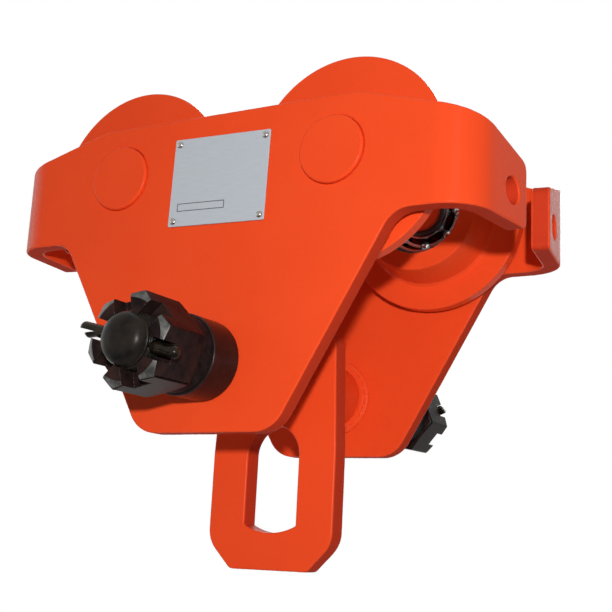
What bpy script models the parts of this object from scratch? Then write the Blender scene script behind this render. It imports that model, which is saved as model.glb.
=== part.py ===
"""Two tonne push beam trolley: two bent side plates on a load shaft, four flanged wheels and a hanger plate.

Frame: +X along the beam, +Y from the nameplate side to the far side, +Z up.
The origin is on the beam's mid-plane, level with the middle of the four wheel treads' running line.
"""

from math import asin, ceil, cos, pi, radians, sin, sqrt, tan

import bmesh
import bpy
from mathutils import Matrix, Vector

MM = 0.001
FIT_GAP = 0.3 * MM  # clearance between pieces that touch or run in each other

# Wheels
WHEEL_PITCH = 130 * MM
TREAD_RADIUS = 38 * MM
TREAD_TAPER = 1.8 * MM  # radius gained from mid-tread to each end of the tread
FLANGE_RADIUS = 54.6 * MM
FLANGE_WIDTH = 7.2 * MM
FLANGE_EDGE = 0.5 * MM  # chamfer on both of its rims
WHEEL_WIDTH = 29.4 * MM
WHEEL_STANDOFF = 4.6 * MM  # gap between a side plate and its wheels

# Wheel bearings, the common 25 x 52 x 15 size
BEARING_BORE_RADIUS = 12.5 * MM
BEARING_OUTER_RADIUS = 26 * MM
BEARING_WIDTH = 15 * MM
BALL_RADIUS = 3.9 * MM
BALL_COUNT = 8
CAGE_RADIUS = 1.1 * MM
RING_WALL = 3.4 * MM
RING_GROOVE = 1.3 * MM

# Axles
AXLE_HEAD_RADIUS = 17.5 * MM
AXLE_HEAD_PROUD = 1.8 * MM
AXLE_SHOULDER_RADIUS = 20 * MM
CIRCLIP_THICKNESS = 1.5 * MM
CIRCLIP_DEPTH = 1.1 * MM  # how far a circlip sits in its groove

# Side plates
PLATE_THICKNESS = 10 * MM
PLATE_SPREAD = 147 * MM  # between the two outer faces
PLATE_TOP = 28.5 * MM  # above the axles
PLATE_BOTTOM = 138 * MM  # below the axles
PLATE_BOTTOM_HALF = 39.5 * MM
ARM_BOTTOM = 33.7 * MM  # below the axles
ARM_ROOT_HALF = 99.3 * MM
SHOULDER_HALF = 78 * MM  # where the flat top ends and the shoulders start to slope
SHOULDER_SLOPE = 0.28
BEND_START = 118 * MM
BEND_RADIUS = 24 * MM  # outside of the bend
BEND_ANGLE = radians(82)
EAR_FLAT = 34.5 * MM
EAR_HOLE_RADIUS = 7 * MM
EAR_HOLE_ALONG = 19.5 * MM  # from the end of the bend
EAR_HOLE_BELOW = 18 * MM  # below the axles

# Load shaft and what is threaded on it
SHAFT_RADIUS = 13.5 * MM
SHAFT_BELOW = 103 * MM  # below the axles
NUT_ACROSS_FLATS = 41 * MM
NUT_HEIGHT = 30 * MM
NUT_SLOT_WIDTH = 9.6 * MM
NUT_SLOT_DEPTH = 9.5 * MM
NUT_TURN = {"front": radians(-17.5), "rear": radians(20)}  # one of its slots, from +X
SHAFT_PAST_NUT = 7.2 * MM
SHAFT_CROWN = 30 * MM  # radius of the gentle dome on each end
SHAFT_CROWN_EDGE = 7.5 * MM  # where the dome meets the rounded shoulder
SHAFT_SHOULDER = 7 * MM  # radius of the rounded shoulder
SHAFT_LEAD = 1.5 * MM  # length of the taper from the shoulder to the full thread
SHAFT_SHOULDER_STEPS = 4
WASHER_THICKNESS = 10.7 * MM
WASHER_RADIUS = 19.2 * MM
SLEEVE_RADIUS = 20.1 * MM
SHORT_SLEEVE = 22.5 * MM
LONG_SLEEVE = 48 * MM
COLLAR_RADIUS = 23 * MM
COLLAR_THICKNESS = 4 * MM
SPACER_RADIUS = 18 * MM
PIN_RADIUS = 3 * MM
PIN_TURN = {"front": radians(-15.2), "rear": radians(200)}  # direction of the split pin's head, from +X
PIN_HEAD = 27.6 * MM  # from the shaft's axis to the end of the folded head
PIN_LEGS = {"front": (30.5 * MM, 27.5 * MM), "rear": (24.5 * MM, 23 * MM)}  # from the axis to each leg's tip
PIN_FOLD_RADIUS = 0.5 * MM  # inside of the fold
PIN_SPREAD = 1.2 * MM  # how far each leg is bent away from the other

# Hanger plate
HANGER_THICKNESS = 12 * MM
HANGER_HALF_WIDTH = 38.2 * MM
HANGER_NECK_HALF = 35.6 * MM  # half width at the top
HANGER_NECK_FROM = 142 * MM  # below the axles, where the sides start to draw in
HANGER_NECK_BEND = 60 * MM
HANGER_BOTTOM = 203.5 * MM  # below the axles
HANGER_TOP = 67 * MM  # below the axles
HANGER_CHAMFER = 14.5 * MM
HANGER_SHOULDER = 16 * MM  # radius above each lower chamfer
SLOT_HALF_WIDTH = 16 * MM
SLOT_ARCH = 143 * MM  # centre of the round top of the slot, below the axles
SLOT_FLOOR_EDGE = 180 * MM  # where the slot's sides end, below the axles
SLOT_FLOOR_SAG = 4 * MM

# Nameplate
NAMEPLATE_SIZE = (58.7 * MM, 47.9 * MM)
NAMEPLATE_THICKNESS = 0.8 * MM
NAMEPLATE_BELOW = 8 * MM  # centre, below the axles
NAMEPLATE_LEAN = radians(1.5)  # riveted on a little askew
RIVET_INSET = 2.9 * MM
RIVET_HEAD_RADIUS = 1.8 * MM
RIVET_SHANK_RADIUS = 1.2 * MM
RIVET_LENGTH = 5 * MM

# Facets
WHEEL_FACETS = 32
ROUND_FACETS = 24
BEARING_FACETS = 16
RIVET_FACETS = 10
BEND_STEPS = 6
ARC_STEP = radians(15)

AXLE_HEIGHT = TREAD_RADIUS
SHAFT_HEIGHT = AXLE_HEIGHT - SHAFT_BELOW
OUTER_FACE = PLATE_SPREAD / 2  # distance of a plate's outer face from the mid-plane
INNER_FACE = OUTER_FACE - PLATE_THICKNESS
ON_Y = Matrix.Rotation(-pi / 2, 4, "X")  # turns the lathe's +Z to +Y
SIDES = {"front": 0.0, "rear": pi}  # each side's turn about +Z


# Materials

def material(name, colour, roughness, metallic):
    made = bpy.data.materials.new(name)
    made.use_nodes = True
    shader = made.node_tree.nodes["Principled BSDF"]
    shader.inputs["Base Color"].default_value = (*colour, 1)
    shader.inputs["Roughness"].default_value = roughness
    shader.inputs["Metallic"].default_value = metallic
    made.diffuse_color = (*colour, 1)
    return made


# Mesh building

def make_object(name, mesh, finish, place=None):
    """A named object, moved by the matrix `place`, with round stretches shaded smooth."""
    obj = bpy.data.objects.new(name, mesh)
    bpy.context.scene.collection.objects.link(obj)
    mesh.materials.clear()
    mesh.materials.append(finish)
    mesh.shade_smooth()
    mesh.set_sharp_from_angle(angle=radians(35))
    if place is not None:
        obj.matrix_world = place
    return obj


def mesh_from(bm, name):
    bmesh.ops.recalc_face_normals(bm, faces=bm.faces)
    mesh = bpy.data.meshes.new(name)
    bm.to_mesh(mesh)
    bm.free()
    return mesh


def turned(name, profile, facets, sweep=2 * pi):
    """Spins a closed (radius, height) outline about Z. A part sweep leaves flat ends."""
    bm = bmesh.new()
    ring = [bm.verts.new((radius, 0, height)) for radius, height in profile]
    face = bm.faces.new(ring)
    whole = sweep > 2 * pi - 1e-6
    geometry = list(face.edges) if whole else [face]
    if whole:
        bm.faces.remove(face)
    bmesh.ops.spin(
        bm, geom=geometry, cent=(0, 0, 0), axis=(0, 0, 1), angle=sweep, steps=facets
    )
    bmesh.ops.remove_doubles(bm, verts=bm.verts, dist=1e-6)
    if whole:
        on_axis = [e for e in bm.edges if not e.link_faces]
        bmesh.ops.delete(bm, geom=on_axis, context="EDGES")
    return mesh_from(bm, name)


def plate(name, outline, thickness):
    """Extrudes a closed (x, z) outline from y = 0 to y = thickness."""
    bm = bmesh.new()
    face = bm.faces.new([bm.verts.new((x, 0, z)) for x, z in outline])
    pushed = bmesh.ops.extrude_face_region(bm, geom=[face])
    moved = [v for v in pushed["geom"] if isinstance(v, bmesh.types.BMVert)]
    bmesh.ops.translate(bm, verts=moved, vec=(0, thickness, 0))
    return mesh_from(bm, name)


def rounded(corners):
    """A closed outline from (x, z, radius) corners, with each corner as an arc."""
    points = []
    count = len(corners)
    for i, (x, z, radius) in enumerate(corners):
        here = Vector((x, z))
        if radius == 0:
            points.append((x, z))
            continue
        back = (Vector(corners[i - 1][:2]) - here).normalized()
        ahead = (Vector(corners[(i + 1) % count][:2]) - here).normalized()
        half = back.angle(ahead) / 2
        centre = here + (back + ahead).normalized() * (radius / sin(half))
        start = here + back * (radius / tan(half)) - centre
        sweep = start.angle_signed(here + ahead * (radius / tan(half)) - centre)
        steps = max(2, ceil(abs(sweep) / ARC_STEP))
        for k in range(steps + 1):
            spoke = start.copy()
            spoke.rotate(Matrix.Rotation(-sweep * k / steps, 2))
            points.append(tuple(centre + spoke))
    return points


def arc(centre, radius, first, last):
    """Points of an arc about centre, from angle first to angle last."""
    steps = max(2, ceil(abs(last - first) / ARC_STEP))
    angles = [first + (last - first) * k / steps for k in range(steps + 1)]
    return [(centre[0] + radius * cos(a), centre[1] + radius * sin(a)) for a in angles]


def rod(name, radius, length, facets):
    """A cylinder on Z, centred on the origin."""
    half = length / 2
    return turned(name, [(0, -half), (radius, -half), (radius, half), (0, half)], facets)


def block(name, size):
    """A box centred on the origin."""
    bm = bmesh.new()
    bmesh.ops.create_cube(bm, size=1)
    bmesh.ops.scale(bm, verts=bm.verts, vec=size)
    return mesh_from(bm, name)


def shaped(mesh, tools):
    """The mesh after each (operation, mesh, place) of tools, as a new mesh."""
    collection = bpy.context.scene.collection
    base = bpy.data.objects.new(mesh.name, mesh)
    collection.objects.link(base)
    helpers = []
    for operation, tool, place in tools:
        helper = bpy.data.objects.new("cutter", tool)
        collection.objects.link(helper)
        helper.matrix_world = place
        helpers.append(helper)
        boolean = base.modifiers.new("shape", "BOOLEAN")
        boolean.operation = operation
        boolean.object = helper
    bpy.context.view_layer.update()
    evaluated = base.evaluated_get(bpy.context.evaluated_depsgraph_get())
    result = bpy.data.meshes.new_from_object(evaluated)
    for obj in [base, *helpers]:
        bpy.data.objects.remove(obj)
    return result


# Side plates

def ear_length():
    """Length of the blank past the start of the bend, on the middle of the plate's thickness."""
    return (BEND_RADIUS - PLATE_THICKNESS / 2) * BEND_ANGLE + EAR_FLAT


def bend(along, depth):
    """Where a point of the flat blank goes: along is its X, depth its distance from the outer face."""
    side = 1 if along > 0 else -1
    past = abs(along) - BEND_START
    if past <= 0:
        return along, depth
    middle = BEND_RADIUS - PLATE_THICKNESS / 2
    angle = min(past / middle, BEND_ANGLE)
    straight = max(0.0, past - middle * BEND_ANGLE)
    radius = BEND_RADIUS - depth
    x = BEND_START + radius * sin(angle) + straight * cos(angle)
    y = BEND_RADIUS - radius * cos(angle) + straight * sin(angle)
    return side * x, y


def side_plate_mesh():
    """The plate with its outer face at y = 0 and its ears bent towards +Y, axles at z = 0."""
    tip = BEND_START + ear_length()
    tip_top = PLATE_TOP - (tip - SHOULDER_HALF) * SHOULDER_SLOPE
    right = [
        (PLATE_BOTTOM_HALF, -PLATE_BOTTOM, 18 * MM),
        (ARM_ROOT_HALF, -ARM_BOTTOM, 15 * MM),
        (tip, -ARM_BOTTOM, 3 * MM),
        (tip, tip_top, 6 * MM),
        (SHOULDER_HALF, PLATE_TOP, 25 * MM),
    ]
    left = [(-x, z, radius) for x, z, radius in reversed(right)]
    blank = plate("side_plate", rounded(right + left), PLATE_THICKNESS)
    hole_along = tip - EAR_FLAT + EAR_HOLE_ALONG
    holes = [
        (-WHEEL_PITCH / 2, 0, AXLE_HEAD_RADIUS + FIT_GAP),
        (WHEEL_PITCH / 2, 0, AXLE_HEAD_RADIUS + FIT_GAP),
        (0, -SHAFT_BELOW, SHAFT_RADIUS + FIT_GAP),
        (-hole_along, -EAR_HOLE_BELOW, EAR_HOLE_RADIUS),
        (hole_along, -EAR_HOLE_BELOW, EAR_HOLE_RADIUS),
    ]
    drills = [
        (
            "DIFFERENCE",
            rod("drill", radius, 3 * PLATE_THICKNESS, ROUND_FACETS),
            Matrix.Translation((x, PLATE_THICKNESS / 2, z)) @ ON_Y,
        )
        for x, z, radius in holes
    ]
    bm = bmesh.new()
    bm.from_mesh(shaped(blank, drills))
    middle = BEND_RADIUS - PLATE_THICKNESS / 2
    for k in range(BEND_STEPS + 1):
        for side in (-1, 1):
            cut = side * (BEND_START + middle * BEND_ANGLE * k / BEND_STEPS)
            everything = [*bm.verts, *bm.edges, *bm.faces]
            bmesh.ops.bisect_plane(
                bm, geom=everything, dist=1e-6, plane_co=(cut, 0, 0), plane_no=(1, 0, 0)
            )
    bmesh.ops.triangulate(bm, faces=[f for f in bm.faces if len(f.verts) > 4])
    for vertex in bm.verts:
        vertex.co.x, vertex.co.y = bend(vertex.co.x, vertex.co.y)
    return mesh_from(bm, "side_plate")


# Wheels and their bearings, turned about Z with a plate's outer face at z = 0

def wheel_meshes():
    """The wheel's two halves: the flange disc with its bearing lip, and the tapered tread."""
    outside = PLATE_THICKNESS + WHEEL_STANDOFF
    inside = outside + WHEEL_WIDTH
    shoulder = outside + FLANGE_WIDTH + 1.3 * MM
    seat_start = bearing_start() - FIT_GAP
    seat_end = bearing_start() + BEARING_WIDTH + FIT_GAP
    groove_end = seat_end + CIRCLIP_THICKNESS + FIT_GAP
    seat = BEARING_OUTER_RADIUS + FIT_GAP
    lip = seat - 4.3 * MM
    groove = seat + CIRCLIP_DEPTH + FIT_GAP
    flange = [
        (lip, outside),
        (FLANGE_RADIUS - FLANGE_EDGE, outside),
        (FLANGE_RADIUS, outside + FLANGE_EDGE),
        (FLANGE_RADIUS, outside + FLANGE_WIDTH - FLANGE_EDGE),
        (FLANGE_RADIUS - FLANGE_EDGE, outside + FLANGE_WIDTH),
        (TREAD_RADIUS + TREAD_TAPER + 1.5 * MM, shoulder),
        (seat, shoulder),
        (seat, seat_start),
        (lip, seat_start),
    ]
    tread = [
        (seat, shoulder + FIT_GAP),
        (TREAD_RADIUS + TREAD_TAPER, shoulder + FIT_GAP),
        (TREAD_RADIUS - TREAD_TAPER, inside),
        (seat, inside),
        (seat, groove_end),
        (groove, groove_end),
        (groove, seat_end),
        (seat, seat_end),
    ]
    return turned("wheel_flange", flange, WHEEL_FACETS), turned("wheel_tread", tread, WHEEL_FACETS)


def bearing_start():
    """Distance of a bearing's nearer face from its plate's outer face."""
    return PLATE_THICKNESS + WHEEL_STANDOFF + 6.4 * MM


def axle_mesh():
    head = AXLE_HEAD_RADIUS
    seat = BEARING_BORE_RADIUS - FIT_GAP
    shoulder = PLATE_THICKNESS + FIT_GAP
    seat_start = bearing_start() - FIT_GAP
    groove_start = bearing_start() + BEARING_WIDTH + FIT_GAP
    groove_end = groove_start + CIRCLIP_THICKNESS + FIT_GAP
    end = groove_end + 3 * MM
    profile = [
        (0, -AXLE_HEAD_PROUD),
        (head - 1.2 * MM, -AXLE_HEAD_PROUD),
        (head, 1.2 * MM - AXLE_HEAD_PROUD),
        (head, shoulder),
        (AXLE_SHOULDER_RADIUS, shoulder),
        (AXLE_SHOULDER_RADIUS, shoulder + 3.4 * MM),
        (BEARING_BORE_RADIUS + RING_WALL, shoulder + 3.4 * MM),
        (BEARING_BORE_RADIUS + RING_WALL, seat_start),
        (seat, seat_start),
        (seat, groove_start),
        (seat - CIRCLIP_DEPTH, groove_start),
        (seat - CIRCLIP_DEPTH, groove_end),
        (seat, groove_end),
        (seat, end),
        (0, end),
    ]
    return turned("axle", profile, ROUND_FACETS)


def bearing_ring_mesh(name, wall_radius, race_radius):
    """One ring of the bearing: wall_radius fits the wheel or axle, race_radius faces the balls."""
    inward = 1 if race_radius > wall_radius else -1
    low, high = bearing_start(), bearing_start() + BEARING_WIDTH
    middle = (low + high) / 2
    mouth = 0.8 * BALL_RADIUS
    profile = [
        (wall_radius, low),
        (race_radius, low),
        (race_radius, middle - mouth),
        (race_radius - inward * RING_GROOVE, middle - mouth / 2),
        (race_radius - inward * RING_GROOVE, middle + mouth / 2),
        (race_radius, middle + mouth),
        (race_radius, high),
        (wall_radius, high),
    ]
    return turned(name, profile, BEARING_FACETS)


def ball_cage_mesh():
    """Balls held in their cage: one ring whose section swells to a ball at even spacing."""
    track = (BEARING_BORE_RADIUS + BEARING_OUTER_RADIUS) / 2
    middle = bearing_start() + BEARING_WIDTH / 2
    sides = 6
    shares = (-0.93, -0.5, 0.5, 0.93)  # stations across a ball, in ball radii
    bm = bmesh.new()
    loops = []
    for ball in range(BALL_COUNT):
        for share in shares:
            angle = 2 * pi * ball / BALL_COUNT + asin(share * BALL_RADIUS / track)
            section = max(BALL_RADIUS * sqrt(1 - share * share), CAGE_RADIUS)
            loop = []
            for k in range(sides):
                turn = 2 * pi * k / sides
                reach = track + section * cos(turn)
                height = middle + section * sin(turn)
                loop.append(bm.verts.new((reach * cos(angle), reach * sin(angle), height)))
            loops.append(loop)
    for i, loop in enumerate(loops):
        previous = loops[i - 1]
        for k in range(sides):
            quad = (previous[k - 1], previous[k], loop[k], loop[k - 1])
            bm.faces.new(quad)
    return mesh_from(bm, "ball_cage")


def circlip_mesh(name, inner, outer, start):
    """A snap ring with a gap."""
    profile = [
        (inner, start),
        (outer, start),
        (outer, start + CIRCLIP_THICKNESS),
        (inner, start + CIRCLIP_THICKNESS),
    ]
    opening = radians(40)
    return turned(name, profile, BEARING_FACETS, 2 * pi - opening)


# Load shaft and its fasteners

def sleeve_mesh(name, radius, length):
    """A plain tube on the shaft, from z = 0 to z = length, less the fit gap."""
    bore = SHAFT_RADIUS + FIT_GAP
    top = length - FIT_GAP
    return turned(name, [(bore, 0), (radius, 0), (radius, top), (bore, top)], ROUND_FACETS)


def collar_mesh():
    """The ring welded round the shaft hole on a plate's inner face, with a sloping weld bead."""
    bore = SHAFT_RADIUS + FIT_GAP
    top = COLLAR_THICKNESS - FIT_GAP
    profile = [
        (bore, 0),
        (COLLAR_RADIUS, 0),
        (COLLAR_RADIUS - 1.2 * MM, 1.6 * MM),
        (COLLAR_RADIUS - 2.6 * MM, top),
        (bore, top),
    ]
    return turned("collar", profile, ROUND_FACETS)


def castle_nut_mesh():
    """Hexagon nut with six slots, seat at z = 0. A slot lies on +X."""
    corner = NUT_ACROSS_FLATS / sqrt(3)
    hexagon = [
        (corner * cos(pi / 6 + k * pi / 3), corner * sin(pi / 6 + k * pi / 3))
        for k in range(6)
    ]
    prism = plate("castle_nut", hexagon, NUT_HEIGHT)
    prism.transform(Matrix.Rotation(pi / 2, 4, "X"))
    flat = NUT_ACROSS_FLATS / 2
    drop = (corner * 1.06 - flat) * tan(radians(30))
    chamfer = turned(
        "chamfer",
        [
            (0, -0.01 * MM),
            (flat - 0.8 * MM, -0.01 * MM),
            (corner * 1.06, drop),
            (corner * 1.06, NUT_HEIGHT - 1.2 * drop),
            (flat - 1.1 * MM, NUT_HEIGHT + 0.01 * MM),
            (0, NUT_HEIGHT + 0.01 * MM),
        ],
        30,
    )
    tools = [("INTERSECT", chamfer, Matrix())]
    bore = rod("bore", SHAFT_RADIUS + FIT_GAP, 3 * NUT_HEIGHT, ROUND_FACETS)
    tools.append(("DIFFERENCE", bore, Matrix()))
    for k in range(3):
        slot = block("slot", (4 * corner, NUT_SLOT_WIDTH, 2 * NUT_SLOT_DEPTH))
        lift = Matrix.Translation((0, 0, NUT_HEIGHT))
        tools.append(("DIFFERENCE", slot, Matrix.Rotation(k * pi / 3, 4, "Z") @ lift))
    return shaped(prism, tools)


def split_pin_mesh(long_leg, short_leg):
    """Half-round wire folded at its head, on the XY plane: head towards +X, two legs towards -X."""
    seam = 0.2 * MM  # half the gap between the legs
    fold_start = PIN_HEAD - PIN_RADIUS - PIN_FOLD_RADIUS
    parting = -NUT_ACROSS_FLATS / 2
    upper = [
        (-long_leg, seam + PIN_SPREAD),
        (1.5 * MM - long_leg, seam + PIN_SPREAD),
        (parting, seam),
        (fold_start - 5 * MM, seam),
    ]
    lower = [
        (fold_start - 5 * MM, -seam),
        (parting, -seam),
        (1.5 * MM - short_leg, -seam - PIN_SPREAD),
        (-short_leg, -seam - PIN_SPREAD),
    ]
    fold = arc((fold_start, 0), PIN_FOLD_RADIUS, pi / 2, -pi / 2)[::2]
    path = upper + fold + lower
    sides = 6
    bm = bmesh.new()
    loops = []
    for i, point in enumerate(path):
        before = Vector(path[max(i - 1, 0)])
        after = Vector(path[min(i + 1, len(path) - 1)])
        ahead = (after - before).normalized()
        out = Vector((-ahead.y, ahead.x))
        at_tip = i in (0, len(path) - 1)
        size = PIN_RADIUS * (0.75 if at_tip else 1) - seam
        loop = []
        for k in range(sides + 1):
            turn = -pi / 2 + pi * k / sides
            place = Vector(point) + out * size * cos(turn)
            loop.append(bm.verts.new((place.x, place.y, size * sin(turn))))
        loops.append(loop)
    for first, second in zip(loops, loops[1:]):
        for k in range(sides + 1):
            bm.faces.new((first[k - 1], first[k], second[k], second[k - 1]))
    bm.faces.new(loops[0])
    bm.faces.new(loops[-1])
    return mesh_from(bm, "split_pin")


def load_shaft_mesh(front_end, rear_end, pin_places):
    """The round bar on Y, with domed threaded ends and a cross hole for each split pin."""
    first = asin(SHAFT_CROWN_EDGE / SHAFT_CROWN)
    rise = SHAFT_CROWN * (1 - cos(first))
    dome = [(SHAFT_CROWN * sin(first / 2), SHAFT_CROWN * (1 - cos(first / 2)))]
    for k in range(SHAFT_SHOULDER_STEPS + 1):
        turn = first + (pi / 2 - first) * k / SHAFT_SHOULDER_STEPS
        radius = SHAFT_CROWN_EDGE + SHAFT_SHOULDER * (sin(turn) - sin(first))
        dome.append((radius, rise + SHAFT_SHOULDER * (cos(first) - cos(turn))))
    dome.append((SHAFT_RADIUS, dome[-1][1] + SHAFT_LEAD))
    profile = [(0, front_end)] + [(radius, front_end + depth) for radius, depth in dome]
    profile += [(radius, rear_end - depth) for radius, depth in reversed(dome)] + [(0, rear_end)]
    bar = turned("load_shaft", profile, ROUND_FACETS)
    bar.transform(ON_Y)
    drills = []
    for y, turn in pin_places:
        drill = rod("drill", PIN_RADIUS + FIT_GAP, 4 * SHAFT_RADIUS, 14)
        place = Matrix.Translation((0, y, 0)) @ Matrix.Rotation(turn, 4, "Y")
        drills.append(("DIFFERENCE", drill, place @ Matrix.Rotation(pi / 2, 4, "Y")))
    return shaped(bar, drills)


# Hanger plate

def hanger_mesh():
    """The flat plate with its shaft hole and hook slot, on the shaft's axis, middle at y = 0."""
    half, top, bottom = HANGER_HALF_WIDTH, -HANGER_TOP, -HANGER_BOTTOM
    neck, neck_from = HANGER_NECK_HALF, -HANGER_NECK_FROM
    cut = HANGER_CHAMFER
    soft = 4 * MM
    outline = rounded([
        (half - cut, bottom, soft),
        (half, bottom + cut, HANGER_SHOULDER),
        (half, neck_from, HANGER_NECK_BEND),
        (neck, top - cut, soft),
        (neck - cut, top, soft),
        (cut - neck, top, soft),
        (-neck, top - cut, soft),
        (-half, neck_from, HANGER_NECK_BEND),
        (-half, bottom + cut, HANGER_SHOULDER),
        (cut - half, bottom, soft),
    ])
    blank = plate("hanger_plate", outline, HANGER_THICKNESS)
    floor_radius = (SLOT_HALF_WIDTH**2 + SLOT_FLOOR_SAG**2) / (2 * SLOT_FLOOR_SAG)
    floor_centre = -SLOT_FLOOR_EDGE - SLOT_FLOOR_SAG + floor_radius
    spread = asin(SLOT_HALF_WIDTH / floor_radius)
    slot_outline = arc((0, floor_centre), floor_radius, -pi / 2 - spread, spread - pi / 2)
    slot_outline += arc((0, -SLOT_ARCH), SLOT_HALF_WIDTH, 0, pi)
    slot = plate("slot", slot_outline, 3 * HANGER_THICKNESS)
    hole = rod("hole", SHAFT_RADIUS + FIT_GAP, 4 * HANGER_THICKNESS, ROUND_FACETS)
    tools = [
        ("DIFFERENCE", slot, Matrix.Translation((0, -HANGER_THICKNESS, 0))),
        ("DIFFERENCE", hole, Matrix.Translation((0, 0, -SHAFT_BELOW)) @ ON_Y),
    ]
    mesh = shaped(blank, tools)
    mesh.transform(Matrix.Translation((0, -HANGER_THICKNESS / 2, SHAFT_BELOW)))
    return mesh


# Nameplate

def nameplate_mesh():
    width, height = NAMEPLATE_SIZE
    outline = rounded([
        (width / 2, -height / 2, 0.8 * MM),
        (width / 2, height / 2, 0.8 * MM),
        (-width / 2, height / 2, 0.8 * MM),
        (-width / 2, -height / 2, 0.8 * MM),
    ])
    blank = plate("nameplate", outline, NAMEPLATE_THICKNESS)
    drill = rod("drill", RIVET_SHANK_RADIUS + FIT_GAP, 9 * NAMEPLATE_THICKNESS, RIVET_FACETS)
    tools = [
        ("DIFFERENCE", drill, Matrix.Translation((x, 0, z)) @ ON_Y)
        for x, z in rivet_places()
    ]
    return shaped(blank, tools)


def nameplate_face():
    """Places the nameplate's own frame on the front plate, its middle at the origin."""
    middle = Matrix.Translation((0, -OUTER_FACE, AXLE_HEIGHT - NAMEPLATE_BELOW))
    return middle @ Matrix.Rotation(NAMEPLATE_LEAN, 4, "Y")


def rivet_places():
    width, height = (side / 2 - RIVET_INSET for side in NAMEPLATE_SIZE)
    return [(-width, height), (width, height), (-width, -height), (width, -height)]


def rivet_mesh():
    """Round-headed drive rivet: the head's seat at z = 0, shank towards +Z."""
    head = RIVET_HEAD_RADIUS
    profile = [(0, -1.1 * MM), (head * 0.55, -0.95 * MM), (head * 0.9, -0.45 * MM), (head, 0)]
    profile += [
        (RIVET_SHANK_RADIUS, 0),
        (RIVET_SHANK_RADIUS, RIVET_LENGTH),
        (0, RIVET_LENGTH),
    ]
    return turned("rivet", profile, RIVET_FACETS)


# Assembly

def side_frame(turn):
    """Places a side's own frame: its plate's outer face at y = 0, axles at z = 0."""
    back = Matrix.Translation((0, -OUTER_FACE, AXLE_HEIGHT))
    return Matrix.Rotation(turn, 4, "Z") @ back


def build_side_plates(paint):
    mesh = side_plate_mesh()
    collar = collar_mesh()
    for side, turn in SIDES.items():
        frame = side_frame(turn)
        make_object(f"side_plate_{side}", mesh, paint, frame)
        seat = Matrix.Translation((0, PLATE_THICKNESS + FIT_GAP, -SHAFT_BELOW))
        make_object(f"welded_collar_{side}", collar, paint, frame @ seat @ ON_Y)


def build_wheels(paint, steel, spring_steel):
    clip_start = bearing_start() + BEARING_WIDTH + FIT_GAP * 1.5
    seat = BEARING_OUTER_RADIUS + FIT_GAP
    post = BEARING_BORE_RADIUS - FIT_GAP
    outer_race = BEARING_OUTER_RADIUS - RING_WALL
    inner_race = BEARING_BORE_RADIUS + RING_WALL
    flange, tread = wheel_meshes()
    kit = {
        "wheel_flange": (flange, paint),
        "wheel_tread": (tread, paint),
        "wheel_axle": (axle_mesh(), paint),
        "bearing_outer_ring": (
            bearing_ring_mesh("outer_ring", BEARING_OUTER_RADIUS, outer_race), steel
        ),
        "bearing_inner_ring": (
            bearing_ring_mesh("inner_ring", BEARING_BORE_RADIUS, inner_race), steel
        ),
        "bearing_ball_cage": (ball_cage_mesh(), steel),
        "bore_circlip": (
            circlip_mesh("bore_clip", seat - 2.2 * MM, seat + CIRCLIP_DEPTH, clip_start),
            spring_steel,
        ),
        "axle_circlip": (
            circlip_mesh("axle_clip", post - CIRCLIP_DEPTH + FIT_GAP, post + 2.4 * MM, clip_start),
            spring_steel,
        ),
    }
    for side, turn in SIDES.items():
        for end, x in (("left", -WHEEL_PITCH / 2), ("right", WHEEL_PITCH / 2)):
            across = x if side == "front" else -x  # left and right as seen from the front
            place = side_frame(turn) @ Matrix.Translation((across, 0, 0)) @ ON_Y
            for piece, (mesh, finish) in kit.items():
                make_object(f"{piece}_{side}_{end}", mesh, finish, place)


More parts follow.
